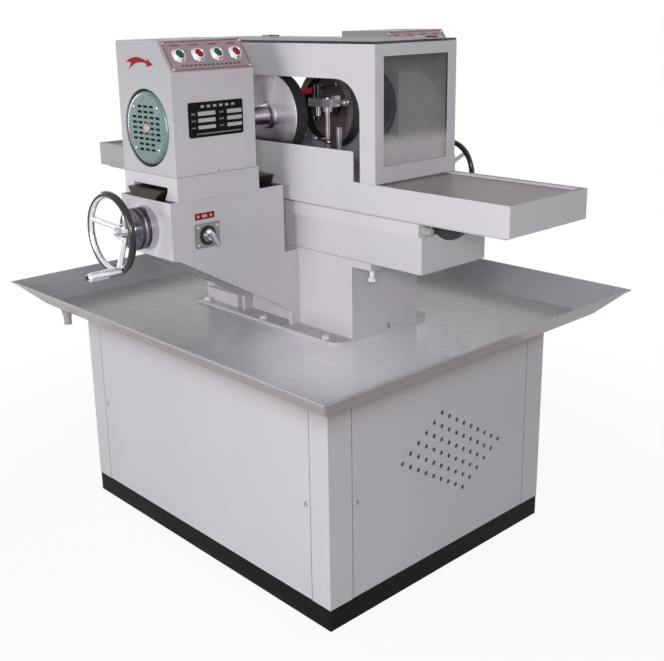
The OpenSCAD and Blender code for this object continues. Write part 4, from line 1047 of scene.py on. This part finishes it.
class GRINDER_OT_buttons(bpy.types.Operator):
    """Button plates, chrome bezels and the eight domed buttons"""

    bl_idname = "grinder.buttons"
    bl_label = "Buttons"

    def execute(self, context):
        colours, sizes = panel_values(context)
        chrome = plated("bezel_chrome", colours.chrome, 0.14)
        red = moulded("button_red", colours.red, 0.15, gloss=0.22)
        green = moulded("button_green", colours.green, 0.15, gloss=0.22)
        slope = Matrix.Translation(SHOULDER) @ Matrix.Rotation(SHOULDER_ANGLE, 4, "Y")
        bezel = [(0.0093, 0.0), (0.0093, 0.0082), (0.01, 0.009), (0.0112, 0.0089), (0.0122, 0.008),
                 (0.013, 0.0062), (0.015, 0.003), (0.0159, 0.0024), (0.016, 0.0014), (0.0093, 0.0)]
        height, radius = sizes.cap_height, sizes.cap_radius
        cap = [(0.0, height), (radius * 0.35, height - 0.0003), (radius * 0.62, height - 0.0011),
               (radius * 0.82, height - 0.0023), (radius * 0.95, height - 0.004),
               (radius, height - 0.0062), (radius, -0.008), (0.0, -0.008)]
        inks = [printed_buttons(f"{side}_button_print", colours, sign) for side, sign in SIDES]
        slab = [prism(rounded(0.072, 0.203, 0.004), 0.0015, slope, 0.0003)]
        ends("button_slab", slab, inks, "head", "button_plate")
        bezels = [turned(bezel, slope @ Matrix.Translation((0, y - SHOULDER.y, 0.0)), 48) for y in BUTTON_Y]
        for down in (-0.0305, 0.0305):
            for along in (-0.0965, 0.0965):
                point = slope @ Vector((down, along, 0.0014))
                bezels.append(slotted_screw(point, SHOULDER_NORMAL, 0.002, 0.001, along))
        ends("bezels", bezels, chrome, "head")
        for side, sign in SIDES:
            for number, y in enumerate(BUTTON_Y, 1):
                spot = slope @ Matrix.Translation((0, sign * (y - SHOULDER.y), 0.0))
                finish, slot = (green, "green_plastic") if number % 2 else (red, "red_plastic")
                piece(f"{side}_cap_{number}", mirrored([turned(cap, spot, 40)], sign), finish,
                      f"{side}_push_{number}", (f"{side}_button_{number}",), 60.0)
        return {"FINISHED"}


class GRINDER_OT_signs(bpy.types.Operator):
    """Blank data plate, rotation arrow and switch sign"""

    bl_idname = "grinder.signs"
    bl_label = "Signs"

    def execute(self, context):
        colours, sizes = panel_values(context)
        relief = sizes.print_relief
        size = NAME_HIGH - NAME_LOW
        spot = (NAME_LOW.x, (NAME_LOW.y + NAME_HIGH.y) / 2, (NAME_LOW.z + NAME_HIGH.z) / 2)
        face = Matrix.Translation(spot) @ Matrix(((0, 0, 1, 0), (1, 0, 0, 0), (0, 1, 0, 0), (0, 0, 0, 1)))
        plate = [prism(rounded(size.y, size.z, 0.005), size.x, face, 0.0003)]
        piece("blank_name_plate", plate, printed_name("name_print", colours), "near_head",
              ("name_plate",))
        red = moulded("arrow_red", colours.sign, 0.5, gloss=0.08)
        front = Matrix(((1, 0, 0, 0), (0, 0, -1, HEAD_LOW.y), (0, 1, 0, 0), (0, 0, 0, 1)))
        ends("rotation_arrow", [prism(self.arrow_outline(), relief, front)], red, "head")
        low, high = (ARM_FACE, -0.39, 0.8215), (ARM_FACE + relief, -0.34, 0.8355)
        ink = printed_sign("switch_sign_print", colours, (0, low[1], low[2]), (1, high[1], high[2]))
        piece("switch_sign", [block(low, high, 0.0001, 1)], ink, "machine_base")
        return {"FINISHED"}

    def arrow_outline(self):
        """An arrow bent over the spindle, from a notched tail on the left to a head on the right."""
        middle, radius, steps = Vector((-0.014, 1.067)), 0.08, 14
        upper, lower = [], []
        for step in range(steps + 1):
            share = step / steps
            way, width = heading(122.5 - 53.5 * share), 0.0095 - 0.0073 * share
            upper.append(middle + (radius + width) * way)
            lower.append(middle + (radius - width) * way)
        neck, barb = middle + radius * heading(69), 0.0085 * heading(80)
        head = [neck + barb, neck + 0.022 * heading(-10), neck - barb]
        return upper + head + lower[::-1] + [middle + radius * heading(111)]


class GRINDER_OT_switch(bpy.types.Operator):
    """Mode switch on the near arm"""

    bl_idname = "grinder.switch"
    bl_label = "Mode switch"

    def execute(self, context):
        chrome = panel_values(context)[0].chrome
        plate = ground_metal("switch_plate_metal", tone(146, 143, 144), (1, 1, 1 / 0.06), 0.36)
        dress(plate, "switch_plate")
        dress(plated("switch_chrome", chrome, 0.09), "switch_lever")
        low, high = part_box("switch_plate")
        inset = 0.007
        screws = [
            slotted_screw((ARM_FACE + 0.0028, y, z), FORWARD, 0.0032, 0.002, y * 90)
            for y in (low.y + inset, high.y - inset) for z in (low.z + inset, high.z - inset)
        ]
        piece("switch_screws", screws, plated("switch_screw", chrome, 0.12), "machine_base")
        centre = (low + high) / 2
        # A dark ring of painted shade stands for the recess behind the lever.
        collar = [(0.0145, 0.0), (0.0145, 0.0012), (0.02, 0.001), (0.0208, 0.0004), (0.0208, 0.0),
                  (0.0145, 0.0)]
        recess_shade = [turned(collar, toward((ARM_FACE + 0.003, centre.y, centre.z), FORWARD), 48)]
        dark = moulded("switch_recess_shade", tone(34, 31, 34), 0.5)
        piece("switch_recess_shade", recess_shade, dark, "machine_base")
        return {"FINISHED"}


class GRINDER_OT_guard(bpy.types.Operator):
    """Guard windows, lid and rubber seals"""

    bl_idname = "grinder.guard"
    bl_label = "Guard"

    def execute(self, context):
        colours = panel_values(context)[0]
        low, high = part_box("guard_windows")
        overlay = [low.z + share * (high.z - low.z) for share in (0.2, 0.36)]
        dress(sheet("window_sheet", colours.window, 0.3, overlay=overlay), "guard_windows")
        dress(sheet("smoked_sheet", colours.smoke, 0.72, 0.22), "guard_lid")
        rubber = moulded("seal_rubber", tone(56, 54, 58), 0.6)
        for side, sign in (("right", 1.0), ("left", -1.0)):
            path = [
                (sign * (GUARD_FACE - 0.0045), y, 1.0355 + z) for y, z in rounded(0.2, 0.221, 0.01, 4)
            ]
            seal = [tube(path, 0.0016, 8, closed=True)]
            piece(f"{side}_window_seal", seal, rubber, "table")
        return {"FINISHED"}


class GRINDER_OT_fixture(bpy.types.Operator):
    """Vee block and clamp that hold the work"""

    bl_idname = "grinder.fixture"
    bl_label = "Work fixture"

    def execute(self, context):
        colours = panel_values(context)[0]
        iron = bare_iron("fixture_iron", tone(160, 154, 166), 0.38, 0.5)
        bright = plated("fixture_bright", colours.chrome, 0.16)
        dress(iron, "fixture_base")
        dress(bare_iron("clamp_steel", tone(176, 166, 176), 0.34, 0.55), "fixture_clamp")
        dress(clamp_paint("clamp_paint", colours.steel), "clamp_lever")
        cap = [(0.0, 0.003), (0.0092, 0.003), (0.0105, 0.0022), (0.0105, 0.0007), (0.01, 0.0), (0.0, 0.0)]
        knob = [turned(cap, toward((0.087, 0.0, BAR_TOP), (0, 0, 1)), 36)]
        piece("bar_knob", knob, bright, "table")
        lug = [block((0.06, -0.0262, FIXTURE_TOP), (0.066, -0.0224, 0.961), 0.0008)]
        piece("screw_lug", lug, iron, "table")
        shank = [(0.0, 0.0515), (0.003, 0.051), (0.005, 0.0485), (0.0055, 0.0455), (0.005, 0.0425),
                 (0.0026, 0.04), (0.0026, 0.0052), (0.005, 0.005), (0.0056, 0.0042), (0.0056, 0.0012),
                 (0.0052, 0.0), (0.0, 0.0)]
        screw = [turned(shank, toward((0.066, -0.0238, 0.9545), (1, 0, -0.12)), 32)]
        piece("thumb_screw", screw, bright, "table")
        return {"FINISHED"}


class GRINDER_OT_fasteners(bpy.types.Operator):
    """Foot bolts, the seams of the heads and a small screw"""

    bl_idname = "grinder.fasteners"
    bl_label = "Fasteners"

    def execute(self, context):
        colours, sizes = panel_values(context)
        dress(enamel("bolt_enamel", colours.white, 0.4, 0.1, 0.05), "foot_bolts")
        dark = bare_iron("small_screw_iron", tone(136, 133, 136), 0.45, 0.5)
        seam = moulded("seam_grey", tone(150, 146, 150), 0.6)
        low, high = HEAD_LOW, HEAD_HIGH
        proud, half = 0.0003, 0.0007
        bottom, top = low.z - half, low.z + half
        strips = [
            block((low.x - proud, y - proud, bottom), (high.x + proud, y + proud, top))
            for y in (low.y, high.y)
        ]
        strips += [block((x - proud, low.y, bottom), (x + proud, high.y, top)) for x in (low.x, high.x)]
        ends("housing_seam", strips, seam, "head")
        radius = sizes.seam_screw
        screw = [slotted_screw((high.x, -0.326, low.z + 0.004), FORWARD, radius, radius * 0.5, 0.6)]
        piece("housing_seam_screw", screw, dark, "near_head")
        return {"FINISHED"}


class GRINDER_OT_stage(bpy.types.Operator):
    """Camera, soft lamps, pale floor and white surroundings"""

    bl_idname = "grinder.stage"
    bl_label = "Stage"

    def execute(self, context):
        stage = context.scene.grinder_stage
        context.scene.view_settings.view_transform = "Standard"
        self.camera(context.scene, stage)
        body, side = (0, 0, 0.7), (2.2, 1.8)
        for name, power, place, target, size in (
            ("key_lamp", stage.key, (0.3, -3.6, 1.25), body, (1.8, 1.3)),
            ("front_lamp", stage.front, (1.95, -1.75, 1.45), (0, 0, 0.9), (0.7, 0.5)),
            ("fill_lamp", stage.fill, (4.6, 0.3, 1.3), body, side),
            ("back_lamp", stage.back, (0.8, 5.0, 1.6), body, side),
            ("left_lamp", stage.left, (-4.6, -0.9, 1.3), body, side),
        ):
            self.lamp(name, power, place, target, size)
        self.surroundings(context.scene, stage.ambient)
        self.floor(stage.floor)
        return {"FINISHED"}

    def camera(self, scene, stage):
        """The camera, placed and turned as the panel says."""
        camera = linked("camera", bpy.data.cameras.new("camera"))
        camera.matrix_world = Matrix.Translation(stage.camera)
        for angle, axis in ((stage.heading - pi / 2, "Z"), (stage.tilt + pi / 2, "X"), (stage.roll, "Z")):
            camera.matrix_world @= Matrix.Rotation(angle, 4, axis)
        camera.data.sensor_width = SENSOR_WIDTH
        camera.data.sensor_fit = "HORIZONTAL"
        camera.data.lens = stage.lens
        camera.data.shift_x, camera.data.shift_y = stage.shift_x, stage.shift_y
        scene.camera = camera

    def lamp(self, name, power, place, target, size):
        """A soft rectangular lamp that faces a point."""
        light = bpy.data.lights.new(name, "AREA")
        light.shape = "RECTANGLE"
        light.size, light.size_y = size
        light.energy = power
        linked(name, light).matrix_world = toward(place, Vector(place) - Vector(target))

    def surroundings(self, scene, ambient):
        """White to the camera and in reflections, and a weaker light on what is matt."""
        scene.world = bpy.data.worlds.new("studio")
        nodes = Nodes(scene.world)
        strength = nodes.seen().spread(0.0, 1.0, ambient, 1.0)
        white = nodes.add("ShaderNodeBackground", inputs={"Color": (1, 1, 1, 1), "Strength": strength})
        nodes.add("ShaderNodeOutputWorld", inputs={"Surface": white})

    def floor(self, lightness):
        """A wide round floor whose far part fades into the white."""
        mesh = bmesh.new()
        bmesh.ops.create_circle(mesh, cap_ends=True, radius=14.0, segments=96)
        data = bpy.data.meshes.new("floor")
        mesh.to_mesh(data)
        mesh.free()
        floor = linked("floor", data)
        shader = Shader("floor_paint")
        across, along, _ = shader.axes()
        speck = shader.noise(90.0, 2.0)
        data.materials.append(shader.finish(speck.shade((lightness,) * 3, 0.985, 1.0), 0.9))
        fade = distance(across, along).spread(0.8, 1.7, 0.92, 1.0, smooth=True) * shader.seen()
        glow = shader.add("ShaderNodeEmission", inputs={"Color": (1, 1, 1, 1), "Strength": 1.0})
        paint = Value(shader, shader.output.links[0].from_socket)
        shader.feed(shader.output, shader.add("ShaderNodeMixShader", inputs={0: fade, 1: paint, 2: glow}))


OPERATORS = (
    GRINDER_OT_castings,
    GRINDER_OT_cabinet,
    GRINDER_OT_ways,
    GRINDER_OT_wheels,
    GRINDER_OT_cowls,
    GRINDER_OT_handwheels,
    GRINDER_OT_buttons,
    GRINDER_OT_signs,
    GRINDER_OT_switch,
    GRINDER_OT_guard,
    GRINDER_OT_fixture,
    GRINDER_OT_fasteners,
    GRINDER_OT_stage,
)


class GRINDER_PT_panel(bpy.types.Panel):
    """Lists the grinder's pieces in the sidebar"""

    bl_label = "Grinder"
    bl_idname = "GRINDER_PT_panel"
    bl_space_type = "VIEW_3D"
    bl_region_type = "UI"
    bl_category = "Grinder"

    def draw(self, context):
        for operator in OPERATORS:
            self.layout.operator(operator.bl_idname)
        for group in GROUPS:
            box = self.layout.box()
            for name in GROUPS[group].__annotations__:
                box.prop(getattr(context.scene, group), name)


GROUPS = {"grinder_colours": GrinderColours, "grinder_sizes": GrinderSizes, "grinder_stage": GrinderStage}
CLASSES = (*GROUPS.values(), *OPERATORS, GRINDER_PT_panel)


def register():
    for made in CLASSES:
        bpy.utils.register_class(made)
    for name, group in GROUPS.items():
        setattr(bpy.types.Scene, name, bpy.props.PointerProperty(type=group))


def unregister():
    for name in GROUPS:
        delattr(bpy.types.Scene, name)
    for made in reversed(CLASSES):
        bpy.utils.unregister_class(made)


def main():
    """Makes every piece, then the stage."""
    register()
    for operator in OPERATORS:
        family, name = operator.bl_idname.split(".")
        getattr(getattr(bpy.ops, family), name)()


if __name__ == "__main__":
    main()
